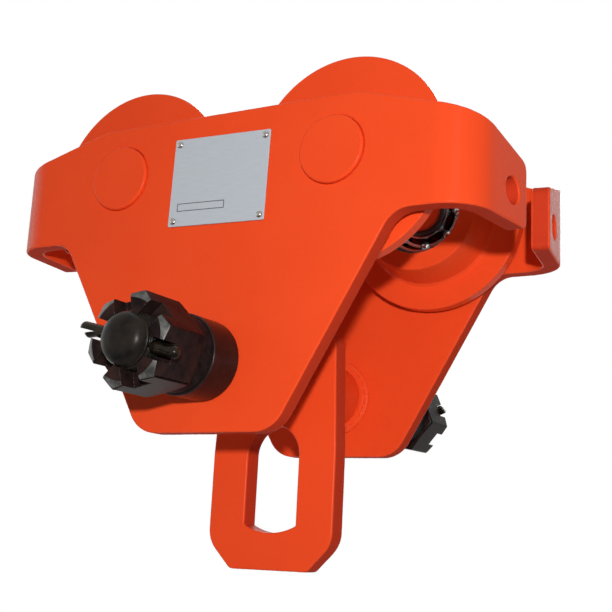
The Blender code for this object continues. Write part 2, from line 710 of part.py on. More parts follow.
def build_load_shaft(paint, black, dark, pin_steel):
    """Everything on the shaft, placed outwards from the two plates along Y."""
    on_shaft = Matrix.Translation((0, 0, SHAFT_HEIGHT))
    front_nut = -(OUTER_FACE + SHORT_SLEEVE + WASHER_THICKNESS)
    rear_nut = OUTER_FACE + SHORT_SLEEVE + LONG_SLEEVE + WASHER_THICKNESS
    pin_lift = NUT_HEIGHT - NUT_SLOT_DEPTH + PIN_RADIUS + 2 * MM
    front_pin, rear_pin = front_nut - pin_lift, rear_nut + pin_lift

    shaft = load_shaft_mesh(
        front_nut - NUT_HEIGHT - SHAFT_PAST_NUT,
        rear_nut + NUT_HEIGHT + SHAFT_PAST_NUT,
        [(front_pin, -PIN_TURN["front"]), (rear_pin, -PIN_TURN["rear"])],
    )
    make_object("load_shaft", shaft, black, on_shaft)

    def stack(name, mesh, finish, start, facing):
        """Puts a piece on the shaft with its seat at y = start, growing towards facing."""
        aim = ON_Y if facing > 0 else Matrix.Rotation(pi / 2, 4, "X")
        gap = Matrix.Translation((0, start + facing * FIT_GAP, 0))
        make_object(name, mesh, finish, on_shaft @ gap @ aim)

    short = sleeve_mesh("short_sleeve", SLEEVE_RADIUS, SHORT_SLEEVE)
    long = sleeve_mesh("long_sleeve", SLEEVE_RADIUS, LONG_SLEEVE)
    washer = sleeve_mesh("washer", WASHER_RADIUS, WASHER_THICKNESS)
    stack("outer_sleeve_front", short, dark, -OUTER_FACE, -1)
    stack("spacer_washer_front", washer, black, -OUTER_FACE - SHORT_SLEEVE, -1)
    stack("outer_sleeve_rear_short", short, dark, OUTER_FACE, 1)
    stack("outer_sleeve_rear_long", long, dark, OUTER_FACE + SHORT_SLEEVE, 1)
    stack("spacer_washer_rear", washer, black, OUTER_FACE + SHORT_SLEEVE + LONG_SLEEVE, 1)

    spacer_length = INNER_FACE - COLLAR_THICKNESS - HANGER_THICKNESS / 2 - 2 * FIT_GAP
    spacer = sleeve_mesh("inner_spacer", SPACER_RADIUS, spacer_length)
    stack("inner_spacer_front", spacer, paint, -HANGER_THICKNESS / 2, -1)
    stack("inner_spacer_rear", spacer, paint, HANGER_THICKNESS / 2, 1)

    nut = castle_nut_mesh()
    flip = Matrix.Rotation(pi / 2, 4, "X")
    for side, seat, pin_y, facing in (
        ("front", front_nut, front_pin, -1),
        ("rear", rear_nut, rear_pin, 1),
    ):
        aim = flip if facing < 0 else ON_Y
        nut_tilt = Matrix.Rotation(-NUT_TURN[side], 4, "Y")
        pin_tilt = Matrix.Rotation(-PIN_TURN[side], 4, "Y")
        seat_place = Matrix.Translation((0, seat + facing * FIT_GAP, 0))
        make_object(f"castle_nut_{side}", nut, black, on_shaft @ seat_place @ nut_tilt @ aim)
        pin_place = Matrix.Translation((0, pin_y, 0))
        pin = split_pin_mesh(*PIN_LEGS[side])
        make_object(f"split_pin_{side}", pin, pin_steel, on_shaft @ pin_place @ pin_tilt @ flip)


def build_nameplate(aluminium, rivet_steel):
    face = nameplate_face()
    lift = Matrix.Translation((0, -NAMEPLATE_THICKNESS - FIT_GAP, 0))
    make_object("nameplate", nameplate_mesh(), aluminium, face @ lift)
    mesh = rivet_mesh()
    for number, (x, z) in enumerate(rivet_places(), start=1):
        seat = Matrix.Translation((x, -NAMEPLATE_THICKNESS - 2 * FIT_GAP, z))
        make_object(f"nameplate_rivet_{number}", mesh, rivet_steel, face @ seat @ ON_Y)


def drill_rivet_holes():
    """Blind holes for the rivets in the front plate."""
    front = bpy.data.objects["side_plate_front"]
    front.data = front.data.copy()
    for x, z in rivet_places():
        depth = 2 * RIVET_LENGTH
        mesh = rod("rivet_drill", RIVET_SHANK_RADIUS + FIT_GAP, depth, RIVET_FACETS)
        drill = bpy.data.objects.new("rivet_drill", mesh)
        bpy.context.scene.collection.objects.link(drill)
        drill.matrix_world = nameplate_face() @ Matrix.Translation((x, 0, z)) @ ON_Y
        drill.hide_render = True
        drill.display_type = "WIRE"
        boolean = front.modifiers.new("rivet_hole", "BOOLEAN")
        boolean.operation = "DIFFERENCE"
        boolean.object = drill


def main():
    for obj in list(bpy.data.objects):
        bpy.data.objects.remove(obj)

    paint = material("orange_enamel", (0.83, 0.11, 0.025), 0.28, 0.0)
    black = material("black_oxide_steel", (0.018, 0.017, 0.016), 0.38, 0.9)
    dark = material("dark_sleeve_steel", (0.03, 0.024, 0.022), 0.32, 0.7)
    steel = material("bearing_steel", (0.55, 0.55, 0.55), 0.22, 1.0)
    spring_steel = material("spring_steel", (0.12, 0.12, 0.12), 0.35, 1.0)
    pin_steel = material("pin_steel", (0.05, 0.045, 0.04), 0.35, 0.9)
    aluminium = material("nameplate_aluminium", (0.62, 0.64, 0.65), 0.35, 0.8)

    build_side_plates(paint)
    build_wheels(paint, steel, spring_steel)
    build_load_shaft(paint, black, dark, pin_steel)
    make_object("hanger_plate", hanger_mesh(), paint, Matrix.Translation((0, 0, SHAFT_HEIGHT)))
    build_nameplate(aluminium, spring_steel)
    drill_rivet_holes()


main()
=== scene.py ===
from math import ceil, cos, pi, radians, sin, sqrt, tan

import bmesh
import bpy
from mathutils import Matrix, Vector, noise


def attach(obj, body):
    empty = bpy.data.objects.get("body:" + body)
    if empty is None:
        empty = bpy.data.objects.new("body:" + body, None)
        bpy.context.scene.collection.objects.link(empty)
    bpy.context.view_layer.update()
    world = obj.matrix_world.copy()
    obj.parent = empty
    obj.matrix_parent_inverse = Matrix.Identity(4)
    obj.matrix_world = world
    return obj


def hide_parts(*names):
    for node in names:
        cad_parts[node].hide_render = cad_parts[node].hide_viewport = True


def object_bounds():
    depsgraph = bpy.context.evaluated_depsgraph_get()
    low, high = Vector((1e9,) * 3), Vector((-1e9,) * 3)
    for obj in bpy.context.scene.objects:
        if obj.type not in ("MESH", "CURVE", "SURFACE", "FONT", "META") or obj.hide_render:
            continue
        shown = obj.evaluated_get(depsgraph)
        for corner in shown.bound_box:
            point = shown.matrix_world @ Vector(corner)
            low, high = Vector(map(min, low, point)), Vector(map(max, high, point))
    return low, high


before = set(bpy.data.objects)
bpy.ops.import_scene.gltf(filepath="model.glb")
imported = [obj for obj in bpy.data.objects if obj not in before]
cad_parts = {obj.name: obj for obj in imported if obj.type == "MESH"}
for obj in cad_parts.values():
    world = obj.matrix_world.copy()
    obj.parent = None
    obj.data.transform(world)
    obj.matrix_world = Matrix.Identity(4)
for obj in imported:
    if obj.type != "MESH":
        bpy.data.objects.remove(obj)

cadBox = [list(corner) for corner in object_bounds()]
mm = 0.001
onY = Matrix.Rotation(-pi / 2, 4, "X")  # turns a lathe's +Z to +Y
offY = Matrix.Rotation(pi / 2, 4, "X")  # turns it to -Y
sides = {"front": 0.0, "rear": pi}  # each side's turn about +Z

# sizes that several pieces share, in mm
axleHeight = 38  # above the running line
shaftDrop = 103  # from the axles down to the load shaft
shaftHeight = axleHeight - shaftDrop
halfPitch = 65  # from the middle to each axle
outerFace = 73.5  # from the middle to each side plate's outer face
fitGap = 0.3  # left between pieces that meet
shaftBore = 13.8  # radius of every plain hole that the shaft goes through
lengths = {"shortSleeve": 22.5, "longSleeve": 48, "washer": 10.7, "innerSpacer": 52.9}


# camera, from the photo's own perspective
lens = {
    "azimuth": 27.72,
    "elevation": -13.07,
    "roll": 2.378,
    "distance": 0.51793,
    "aim": (0.07963, -0.0735, -0.03312),
    "focal": 64.9,
    "shift": (-0.0754, -0.0294),
}


def placeCamera(look):
    az, el, roll = (radians(look[key]) for key in ("azimuth", "elevation", "roll"))
    back = Vector((sin(az) * cos(el), -cos(az) * cos(el), sin(el)))
    flatRight = (-back).cross(Vector((0, 0, 1))).normalized()
    flatUp = flatRight.cross(-back)
    right = flatRight * cos(roll) + flatUp * sin(roll)
    up = flatUp * cos(roll) - flatRight * sin(roll)
    data = bpy.data.cameras.new("camera")
    data.lens = look["focal"]
    data.shift_x, data.shift_y = look["shift"]
    data.clip_start = 0.01
    camera = bpy.data.objects.new("camera", data)
    bpy.context.scene.collection.objects.link(camera)
    turn = Matrix((right, up, back)).transposed().to_4x4()
    camera.matrix_world = Matrix.Translation(Vector(look["aim"]) + back * look["distance"]) @ turn
    bpy.context.scene.camera = camera


placeCamera(lens)
print("camera placed")


# materials

def srgb(code):
    parts = [int(code[i:i + 2], 16) / 255 for i in (1, 3, 5)]
    return [c / 12.92 if c <= 0.04045 else ((c + 0.055) / 1.055) ** 2.4 for c in parts] + [1]


def addNode(tree, kind, settings=None, links=None):
    node = tree.nodes.new(kind)
    for key, value in (settings or {}).items():
        if isinstance(key, int) or key in node.inputs:
            node.inputs[key].default_value = value
        else:
            setattr(node, key, value)
    for key, source in (links or {}).items():
        tree.links.new(source, node.inputs[key])
    return node


def newMaterial(name):
    made = bpy.data.materials.new(name)
    made.use_nodes = True
    return made, made.node_tree, made.node_tree.nodes["Principled BSDF"]


enamelCoat = {
    "cloud": 42,  # mm, slow drift of tone from uneven coats
    "peel": 2.4,  # mm, real orange peel is nearer 1 mm; this coarse to show
    "sag": 16,  # mm, waviness left by the brushable primer under the coat
    "chip": 1.3,  # mm, size of the pale spots along the edges, which are thin coat and painted highlight
    "gloss": 9,  # mm, drift of the shine
    "edge": "#f98f62",  # pale colour where the coat pulls thin on an edge, and painted highlight where the rounded edges catch the light
}
enamelLooks = {
    # gloss alkyd enamel sprayed on primed steel: deep even orange, fine orange peel, soft highlights
    "sprayedOrangeEnamel": {
        "colour": "#ea4d24", "shade": "#e2461f", "roughness": (0.2, 0.32), "shine": 0.055,
    },
    # the same coat over the torch-cut edge, darker and redder: painted shade for the rims, which mostly face
    # away from the light; duller, with hardly a highlight
    "enamelOnFlameCutEdge": {
        "colour": "#cb3c20", "shade": "#bf361c", "roughness": (0.5, 0.7), "shine": 0.03,
    },
}


def sprayedEnamel(name, finish):
    look = {**enamelCoat, **finish}
    made, tree, shader = newMaterial(name)
    where = addNode(tree, "ShaderNodeTexCoord").outputs["Object"]
    cloud = addNode(
        tree, "ShaderNodeTexNoise", {"Scale": 1 / (look["cloud"] * mm), "Detail": 3.0}, {"Vector": where}
    )
    tone = addNode(
        tree, "ShaderNodeMix",
        {"data_type": "RGBA", 6: srgb(look["shade"]), 7: srgb(look["colour"])}, {0: cloud.outputs[0]},
    )
    soft = addNode(tree, "ShaderNodeBevel", {"samples": 6, "Radius": 0.8 * mm})
    hard = addNode(tree, "ShaderNodeNewGeometry")
    facing = addNode(
        tree, "ShaderNodeVectorMath", {"operation": "DOT_PRODUCT"},
        {0: soft.outputs[0], 1: hard.outputs["Normal"]},
    )
    edge = addNode(
        tree, "ShaderNodeMapRange", {"From Min": 0.995, "From Max": 0.86}, {"Value": facing.outputs["Value"]}
    )
    chip = addNode(
        tree, "ShaderNodeTexNoise", {"Scale": 1 / (look["chip"] * mm), "Detail": 2.0}, {"Vector": where}
    )
    broken = addNode(
        tree, "ShaderNodeMapRange", {"From Min": 0.45, "From Max": 0.7, "To Max": 0.75},
        {"Value": chip.outputs[0]},
    )
    # pale edge colour: thin coat, and painted highlight along the rounded edges
    paleEdgeCoatAndHighlight = addNode(
        tree, "ShaderNodeMath", {"operation": "MULTIPLY"}, {0: edge.outputs[0], 1: broken.outputs[0]}
    )
    colour = addNode(
        tree, "ShaderNodeMix", {"data_type": "RGBA", 7: srgb(look["edge"])},
        {0: paleEdgeCoatAndHighlight.outputs[0], 6: tone.outputs[2]},
    )
    tree.links.new(colour.outputs[2], shader.inputs["Base Color"])
    low, high = look["roughness"]
    gloss = addNode(
        tree, "ShaderNodeTexNoise", {"Scale": 1 / (look["gloss"] * mm), "Detail": 4.0}, {"Vector": where}
    )
    rough = addNode(tree, "ShaderNodeMapRange", {"To Min": low, "To Max": high}, {"Value": gloss.outputs[0]})
    tree.links.new(rough.outputs[0], shader.inputs["Roughness"])
    sag = addNode(
        tree, "ShaderNodeTexNoise", {"Scale": 1 / (look["sag"] * mm), "Detail": 1.0}, {"Vector": where}
    )
    wave = addNode(
        tree, "ShaderNodeBump", {"Strength": 0.25, "Distance": 0.35 * mm}, {"Height": sag.outputs[0]}
    )
    peel = addNode(
        tree, "ShaderNodeTexNoise", {"Scale": 1 / (look["peel"] * mm), "Detail": 1.5}, {"Vector": where}
    )
    skin = addNode(
        tree, "ShaderNodeBump", {"Strength": 0.16, "Distance": 0.12 * mm},
        {"Height": peel.outputs[0], "Normal": wave.outputs[0]},
    )
    tree.links.new(skin.outputs[0], shader.inputs["Normal"])
    shader.inputs["Specular IOR Level"].default_value = look["shine"]
    return made


blackLooks = {
    # black oxide on forged and turned steel, oiled: near black with a brown cast and a satin sheen
    "oiledBlackOxide": {
        "dark": "#181112", "warm": "#30201c", "patch": 7, "grain": 0.7,
        "bump": 0.3, "rough": (0.22, 0.36), "shine": 0.03,
    },
    # the shaft, turned, rolled and oiled: dark brown with one soft highlight
    "oiledTurnedSteel": {
        "dark": "#12100e", "warm": "#231d18", "patch": 6, "grain": 0.6,
        "bump": 0.12, "rough": (0.24, 0.34), "shine": 0.08,
    },
    # the nut's chamfer, oiled: mid grey, lighter than the nut as painted highlight where the chamfer catches
    # the light
    "nutChamferPaintedHighlight": {
        "dark": "#2e2e2d", "warm": "#62605d", "patch": 4, "grain": 0.7,
        "bump": 0.15, "rough": (0.3, 0.42), "shine": 0.25,
    },
    # smooth turned sleeve, blackened: dark, with a red-brown cast that is partly painted reflection of the
    # orange plates, and long clean reflections
    "blackenedTurnedSteel": {
        "dark": "#1a1211", "warm": "#291a18", "patch": 11, "grain": 1.2,
        "bump": 0.1, "rough": (0.2, 0.32), "shine": 0.16,
    },
    # hot-rolled washer with its mill scale: matt black, rough, with bright specks on the edges that are
    # partly wear, partly painted highlight
    "millScaleWasher": {
        "dark": "#0b0b0c", "warm": "#1f1e1e", "patch": 3, "grain": 1.1,
        "bump": 0.8, "rough": (0.4, 0.7), "shine": 0.06,
    },
    # drawn half-round wire, oiled: smoother than the nut, with a warm glint
    "oiledPinWire": {
        "dark": "#14110e", "warm": "#30271b", "patch": 5, "grain": 0.8,
        "bump": 0.1, "rough": (0.2, 0.32), "shine": 0.2, "metal": 0.6,
    },
}
rubbedEdgeAndGlint = "#77706a"  # pale steel on the edges: where the black is rubbed off, and painted highlight where the edges glint


def blackenedSteel(name, look):
    made, tree, shader = newMaterial(name)
    where = addNode(tree, "ShaderNodeTexCoord").outputs["Object"]
    patch = addNode(
        tree, "ShaderNodeTexNoise", {"Scale": 1 / (look["patch"] * mm), "Detail": 4.0}, {"Vector": where}
    )
    spread = addNode(
        tree, "ShaderNodeMapRange", {"From Min": 0.35, "From Max": 0.7}, {"Value": patch.outputs[0]}
    )
    tone = addNode(
        tree, "ShaderNodeMix",
        {"data_type": "RGBA", 6: srgb(look["dark"]), 7: srgb(look["warm"])}, {0: spread.outputs[0]},
    )
    soft = addNode(tree, "ShaderNodeBevel", {"samples": 6, "Radius": 0.5 * mm})
    hard = addNode(tree, "ShaderNodeNewGeometry")
    facing = addNode(
        tree, "ShaderNodeVectorMath", {"operation": "DOT_PRODUCT"},
        {0: soft.outputs[0], 1: hard.outputs["Normal"]},
    )
    edge = addNode(
        tree, "ShaderNodeMapRange", {"From Min": 0.99, "From Max": 0.82}, {"Value": facing.outputs["Value"]}
    )
    grain = addNode(
        tree, "ShaderNodeTexNoise", {"Scale": 1 / (look["grain"] * mm), "Detail": 3.0}, {"Vector": where}
    )
    rub = addNode(
        tree, "ShaderNodeMapRange", {"From Min": 0.48, "From Max": 0.7, "To Max": 0.6},
        {"Value": grain.outputs[0]},
    )
    edgeWearAndGlint = addNode(tree, "ShaderNodeMath", {"operation": "MULTIPLY"}, {0: edge.outputs[0], 1: rub.outputs[0]})
    colour = addNode(
        tree, "ShaderNodeMix", {"data_type": "RGBA", 7: srgb(rubbedEdgeAndGlint)},
        {0: edgeWearAndGlint.outputs[0], 6: tone.outputs[2]},
    )
    tree.links.new(colour.outputs[2], shader.inputs["Base Color"])
    low, high = look["rough"]
    rough = addNode(tree, "ShaderNodeMapRange", {"To Min": low, "To Max": high}, {"Value": patch.outputs[0]})
    tree.links.new(rough.outputs[0], shader.inputs["Roughness"])
    skin = addNode(
        tree, "ShaderNodeBump", {"Strength": look["bump"], "Distance": 0.12 * mm},
        {"Height": grain.outputs[0], "Normal": soft.outputs[0]},
    )
    tree.links.new(skin.outputs[0], shader.inputs["Normal"])
    shader.inputs["Specular IOR Level"].default_value = look["shine"]
    shader.inputs["Metallic"].default_value = look.get("metal", 0)
    return made


brightLooks = {
    # ground and honed chrome steel: bright, with fine rings left by the wheel
    "groundBearingSteel": {
        "dark": "#9a9b9c", "light": "#c9cacb", "line": 0.5, "rough": (0.14, 0.26), "metal": 1.0,
    },
    # stamped spring steel, phosphated: dull dark grey
    "phosphatedSpringSteel": {
        "dark": "#343434", "light": "#565552", "line": 0.8, "rough": (0.35, 0.5), "metal": 0.9,
    },
    # nickel-plated drive rivets: grey and slightly warm, darker than bright nickel as painted shade for the
    # dark surroundings in their reflection
    "nickelPlatedSteel": {
        "dark": "#7f7c77", "light": "#a8a59f", "line": 0.6, "rough": (0.16, 0.28), "metal": 1.0,
    },
}


def brightMetal(name, look):
    made, tree, shader = newMaterial(name)
    where = addNode(tree, "ShaderNodeTexCoord").outputs["Object"]
    line = addNode(
        tree, "ShaderNodeTexNoise", {"Scale": 1 / (look["line"] * mm), "Detail": 4.0}, {"Vector": where}
    )
    tone = addNode(
        tree, "ShaderNodeMix",
        {"data_type": "RGBA", 6: srgb(look["dark"]), 7: srgb(look["light"])}, {0: line.outputs[0]},
    )
    tree.links.new(tone.outputs[2], shader.inputs["Base Color"])
    low, high = look["rough"]
    rough = addNode(tree, "ShaderNodeMapRange", {"To Min": low, "To Max": high}, {"Value": line.outputs[0]})
    tree.links.new(rough.outputs[0], shader.inputs["Roughness"])
    skin = addNode(
        tree, "ShaderNodeBump", {"Strength": 0.08, "Distance": 0.05 * mm}, {"Height": line.outputs[0]}
    )
    tree.links.new(skin.outputs[0], shader.inputs["Normal"])
    shader.inputs["Metallic"].default_value = look["metal"]
    return made


rollingLine = (9, 9, 0.35)  # mm, long and level


def satinAluminium():
    # rolled aluminium sheet, satin anodised: pale cool grey with faint level rolling lines
    made, tree, shader = newMaterial("satinAnodisedAluminium")
    where = addNode(tree, "ShaderNodeTexCoord").outputs["Object"]
    scale = [1 / (size * mm) for size in rollingLine]
    drawn = addNode(tree, "ShaderNodeMapping", {"Scale": scale}, {"Vector": where})
    lines = addNode(tree, "ShaderNodeTexNoise", {"Scale": 1.0, "Detail": 3.0}, {"Vector": drawn.outputs[0]})
    tone = addNode(
        tree, "ShaderNodeMix",
        {"data_type": "RGBA", 6: srgb("#a2a7ad"), 7: srgb("#babfc5")}, {0: lines.outputs[0]},
    )
    tree.links.new(tone.outputs[2], shader.inputs["Base Color"])
    rough = addNode(tree, "ShaderNodeMapRange", {"To Min": 0.34, "To Max": 0.52}, {"Value": lines.outputs[0]})
    tree.links.new(rough.outputs[0], shader.inputs["Roughness"])
    skin = addNode(
        tree, "ShaderNodeBump", {"Strength": 0.12, "Distance": 0.05 * mm}, {"Height": lines.outputs[0]}
    )
    tree.links.new(skin.outputs[0], shader.inputs["Normal"])
    shader.inputs["Metallic"].default_value = 0.3
    return made


def screenInk():
    # black screen-printing ink: flat, very thin, slightly uneven
    made, tree, shader = newMaterial("screenPrintInk")
    where = addNode(tree, "ShaderNodeTexCoord").outputs["Object"]
    film = addNode(tree, "ShaderNodeTexNoise", {"Scale": 1 / (0.6 * mm), "Detail": 2.0}, {"Vector": where})
    tone = addNode(
        tree, "ShaderNodeMix",
        {"data_type": "RGBA", 6: srgb("#26282b"), 7: srgb("#4a4d50")}, {0: film.outputs[0]},
    )
    tree.links.new(tone.outputs[2], shader.inputs["Base Color"])
    shader.inputs["Roughness"].default_value = 0.5
    return made


enamel, cutEdge = (sprayedEnamel(name, look) for name, look in enamelLooks.items())
black = {name: blackenedSteel(name, look) for name, look in blackLooks.items()}
bright = {name: brightMetal(name, look) for name, look in brightLooks.items()}
aluminium = satinAluminium()
ink = screenInk()
print("materials made")


# shapes, all drawn in mm

def meshFrom(bm, name):
    bmesh.ops.scale(bm, verts=bm.verts, vec=(mm, mm, mm))
    bmesh.ops.recalc_face_normals(bm, faces=bm.faces)
    mesh = bpy.data.meshes.new(name)
    bm.to_mesh(mesh)
    bm.free()
    return mesh


def cornered(corners, arcStep=0.5, lineStep=None):
    # a closed outline from (across, up, radius) corners, each corner an arc
    points = []
    for i, (across, up, radius) in enumerate(corners):
        here = Vector((across, up))
        if radius == 0:
            points.append(here)
            continue
        back = (Vector(corners[i - 1][:2]) - here).normalized()
        ahead = (Vector(corners[(i + 1) % len(corners)][:2]) - here).normalized()
        half = back.angle(ahead) / 2
        reach = radius / tan(half)
        centre = here + (back + ahead).normalized() * (radius / sin(half))
        start = here + back * reach - centre
        sweep = start.angle_signed(here + ahead * reach - centre)
        steps = max(3, ceil(abs(sweep) * radius / arcStep))
        for k in range(steps + 1):
            spoke = start.copy()
            spoke.rotate(Matrix.Rotation(-sweep * k / steps, 2))
            points.append(centre + spoke)
    if lineStep is None:
        return points
    finer = []
    for i, point in enumerate(points):
        after = points[(i + 1) % len(points)]
        cuts = max(1, round((after - point).length / lineStep))
        finer += [point.lerp(after, k / cuts) for k in range(cuts)]
    return finer


def circle(across, up, radius, step=0.9):
    count = max(16, ceil(2 * pi * radius / step))
    return [
        Vector((across + radius * cos(2 * pi * k / count), up + radius * sin(2 * pi * k / count)))
        for k in range(count)
    ]


def turned(profile, steps):
    # spins a closed (radius, height) outline about Z
    bm = bmesh.new()
    face = bm.faces.new([bm.verts.new((p[0], 0, p[1])) for p in profile])
    edges = list(face.edges)
    bm.faces.remove(face)
    bmesh.ops.spin(bm, geom=edges, cent=(0, 0, 0), axis=(0, 0, 1), angle=2 * pi, steps=steps)
    bmesh.ops.remove_doubles(bm, verts=bm.verts, dist=1e-4)
    loose = [e for e in bm.edges if not e.link_faces]
    bmesh.ops.delete(bm, geom=loose, context="EDGES")
    return bm


rimSteps = 3
wallLevels = (0.35, 0.65)  # rings between the rims, as shares of the thickness
dragLines = {"slant": 0.06, "along": 0.83, "down": 0.05, "finer": 2.3, "finerShare": 0.6}


def cutPlate(outer, holes, thickness, rim, cutDepth=0.0, seed=0.0):
    # a plate between y = 0 and y = thickness with rounded rims; cutDepth leaves drag lines on the outer edge
    layers = [(0, 0), (0, thickness)]
    if rim:
        turns = [pi / 2 * k / rimSteps for k in range(rimSteps + 1)]
        near = [(rim * (1 - sin(a)), rim * (1 - cos(a))) for a in turns]
        layers = near + [(0, thickness * share) for share in wallLevels]
        layers += [(inset, thickness - depth) for inset, depth in reversed(near)]
    bm = bmesh.new()
    firstEdges, lastEdges = [], []
    for number, contour in enumerate([outer, *holes]):
        into = -1 if number == 0 else 1  # towards the metal
        count = len(contour)
        rings = [[] for _ in layers]
        for i, point in enumerate(contour):
            along = (contour[(i + 1) % count] - contour[i - 1]).normalized()
            out = Vector((along.y, -along.x))
            for ring, (inset, depth) in zip(rings, layers):
                groove = 0.0
                if cutDepth and number == 0:
                    # drag lines trail behind the cut
                    slant = dragLines["slant"] * (depth / thickness) ** 2 * thickness
                    spot = Vector((i * dragLines["along"] + slant, seed, depth * dragLines["down"]))
                    fine = noise.noise(spot * dragLines["finer"])
                    groove = cutDepth * (noise.noise(spot) + dragLines["finerShare"] * fine)
                place = point + out * (into * inset + groove)
                ring.append(bm.verts.new((place.x, depth, place.y)))
        for level, (ring, after) in enumerate(zip(rings, rings[1:])):
            betweenRims = rimSteps <= level <= len(layers) - rimSteps - 2
            for k in range(count):
                wall = bm.faces.new((ring[k - 1], ring[k], after[k], after[k - 1]))
                wall.material_index = 1 if cutDepth and betweenRims else 0
        firstEdges += [bm.edges.get((rings[0][k - 1], rings[0][k])) for k in range(count)]
        lastEdges += [bm.edges.get((rings[-1][k - 1], rings[-1][k])) for k in range(count)]
    bmesh.ops.triangle_fill(bm, use_beauty=True, edges=firstEdges)
    bmesh.ops.triangle_fill(bm, use_beauty=True, edges=lastEdges)
    return bm


softenAngle = 28  # degrees, edges sharper than this are softened


def combined(mesh, tools, bevel=None):
    # the mesh after each (operation, mesh, place) in turn; SOFTEN bevels the sharp edges made so far
    base = bpy.data.objects.new("base", mesh)
    bpy.context.scene.collection.objects.link(base)
    helpers = []
    for operation, tool, place in tools:
        if operation == "SOFTEN":
            softening = base.modifiers.new("soften", "BEVEL")
            softening.width = bevel * mm
            softening.segments = 3
            softening.limit_method = "ANGLE"
            softening.angle_limit = radians(softenAngle)
            softening.use_clamp_overlap = False
            continue
        helper = bpy.data.objects.new("helper", tool)
        bpy.context.scene.collection.objects.link(helper)
        helper.matrix_world = place
        helpers.append(helper)
        cut = base.modifiers.new("cut", "BOOLEAN")
        cut.operation = operation
        cut.solver = "MANIFOLD"  # the exact solver sometimes turns the threaded bore inside out
        cut.object = helper
    bpy.context.view_layer.update()
    result = bpy.data.meshes.new_from_object(base.evaluated_get(bpy.context.evaluated_depsgraph_get()))
    for obj in [base, *helpers]:
        bpy.data.objects.remove(obj)
    result.materials.clear()  # the cutters leave an empty slot
    return result


def addPiece(name, mesh, finish, body, nodes, place=None, sharp=35, edgeFinish=None):
    piece = bpy.data.objects.new(name, mesh)
    bpy.context.scene.collection.objects.link(piece)
    if not mesh.materials:  # a mesh that two pieces share is finished once
        mesh.materials.append(finish)
        if edgeFinish is not None:
            mesh.materials.append(edgeFinish)
    mesh.shade_smooth()
    mesh.set_sharp_from_angle(angle=radians(sharp))
    flats = piece.modifiers.new("evenFlats", "WEIGHTED_NORMAL")
    flats.keep_sharp = True
    if place is not None:
        piece.matrix_world = place
    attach(piece, body)
    if nodes:
        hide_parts(*nodes)
    return piece


def sidePlace(turn):
    return Matrix.Rotation(turn, 4, "Z") @ Matrix.Translation((0, -outerFace * mm, axleHeight * mm))


# side plates, flame cut and bent

plate = {
    "thickness": 10, "top": 28.5, "bottom": 138, "bottomHalf": 39.5, "armBottom": 33.7, "armRoot": 99.3,
    "shoulder": 78, "slope": 0.28, "bendStart": 118, "bendRadius": 24, "bendAngle": radians(82), "ear": 34.5,
    "earHole": 7, "earHoleStep": 0.6, "earHoleAlong": 19.5, "earHoleBelow": 18, "axleHole": 17.8,
    "corners": {"bottom": 18, "armRoot": 15, "tipLow": 3, "tipHigh": 6, "shoulder": 25},
    "rim": 0.9, "cutStep": 1.1, "cutDepth": 0.09, "bendSteps": 14,
    "seed": {"front": 3.7, "rear": 8.2},
}


def bent(along, depth):
    side = 1 if along > 0 else -1
    past = abs(along) - plate["bendStart"]
    if past <= 0:
        return along, depth
    middle = plate["bendRadius"] - plate["thickness"] / 2
    angle = min(past / middle, plate["bendAngle"])
    straight = max(0.0, past - middle * plate["bendAngle"])
    radius = plate["bendRadius"] - depth
    x = plate["bendStart"] + radius * sin(angle) + straight * cos(angle)
    return side * x, plate["bendRadius"] - radius * cos(angle) + straight * sin(angle)


def sidePlate(seed):
    middle = plate["bendRadius"] - plate["thickness"] / 2
    bendEnd = plate["bendStart"] + middle * plate["bendAngle"]
    tip = bendEnd + plate["ear"]
    tipTop = plate["top"] - (tip - plate["shoulder"]) * plate["slope"]
    corner = plate["corners"]
    right = [
        (plate["bottomHalf"], -plate["bottom"], corner["bottom"]),
        (plate["armRoot"], -plate["armBottom"], corner["armRoot"]),
        (tip, -plate["armBottom"], corner["tipLow"]),
        (tip, tipTop, corner["tipHigh"]),
        (plate["shoulder"], plate["top"], corner["shoulder"]),
    ]
    left = [(-x, z, radius) for x, z, radius in reversed(right)]
    outer = cornered(right + left, plate["cutStep"], plate["cutStep"])
    holeAlong = bendEnd + plate["earHoleAlong"]
    holes = [circle(x, 0, plate["axleHole"]) for x in (-halfPitch, halfPitch)]
    for x in (-holeAlong, holeAlong):
        holes.append(circle(x, -plate["earHoleBelow"], plate["earHole"], plate["earHoleStep"]))
    holes.append(circle(0, -shaftDrop, shaftBore))
    bm = cutPlate(outer, holes, plate["thickness"], plate["rim"], plate["cutDepth"], seed)
    for k in range(plate["bendSteps"] + 1):
        for side in (-1, 1):
            cut = side * (plate["bendStart"] + middle * plate["bendAngle"] * k / plate["bendSteps"])
            geometry = [*bm.verts, *bm.edges, *bm.faces]
            bmesh.ops.bisect_plane(bm, geom=geometry, dist=1e-4, plane_co=(cut, 0, 0), plane_no=(1, 0, 0))
    for vertex in bm.verts:
        vertex.co.x, vertex.co.y = bent(vertex.co.x, vertex.co.y)
    return meshFrom(bm, "sidePlate")


for side, turn in sides.items():
    addPiece(
        f"sidePlate_{side}", sidePlate(plate["seed"][side]), enamel, "frame", [f"side_plate_{side}"],
        sidePlace(turn), edgeFinish=cutEdge,
    )
print("side plates made")


# wheels, axles and bearings, drawn about Z with the plate's outer face at z = 0

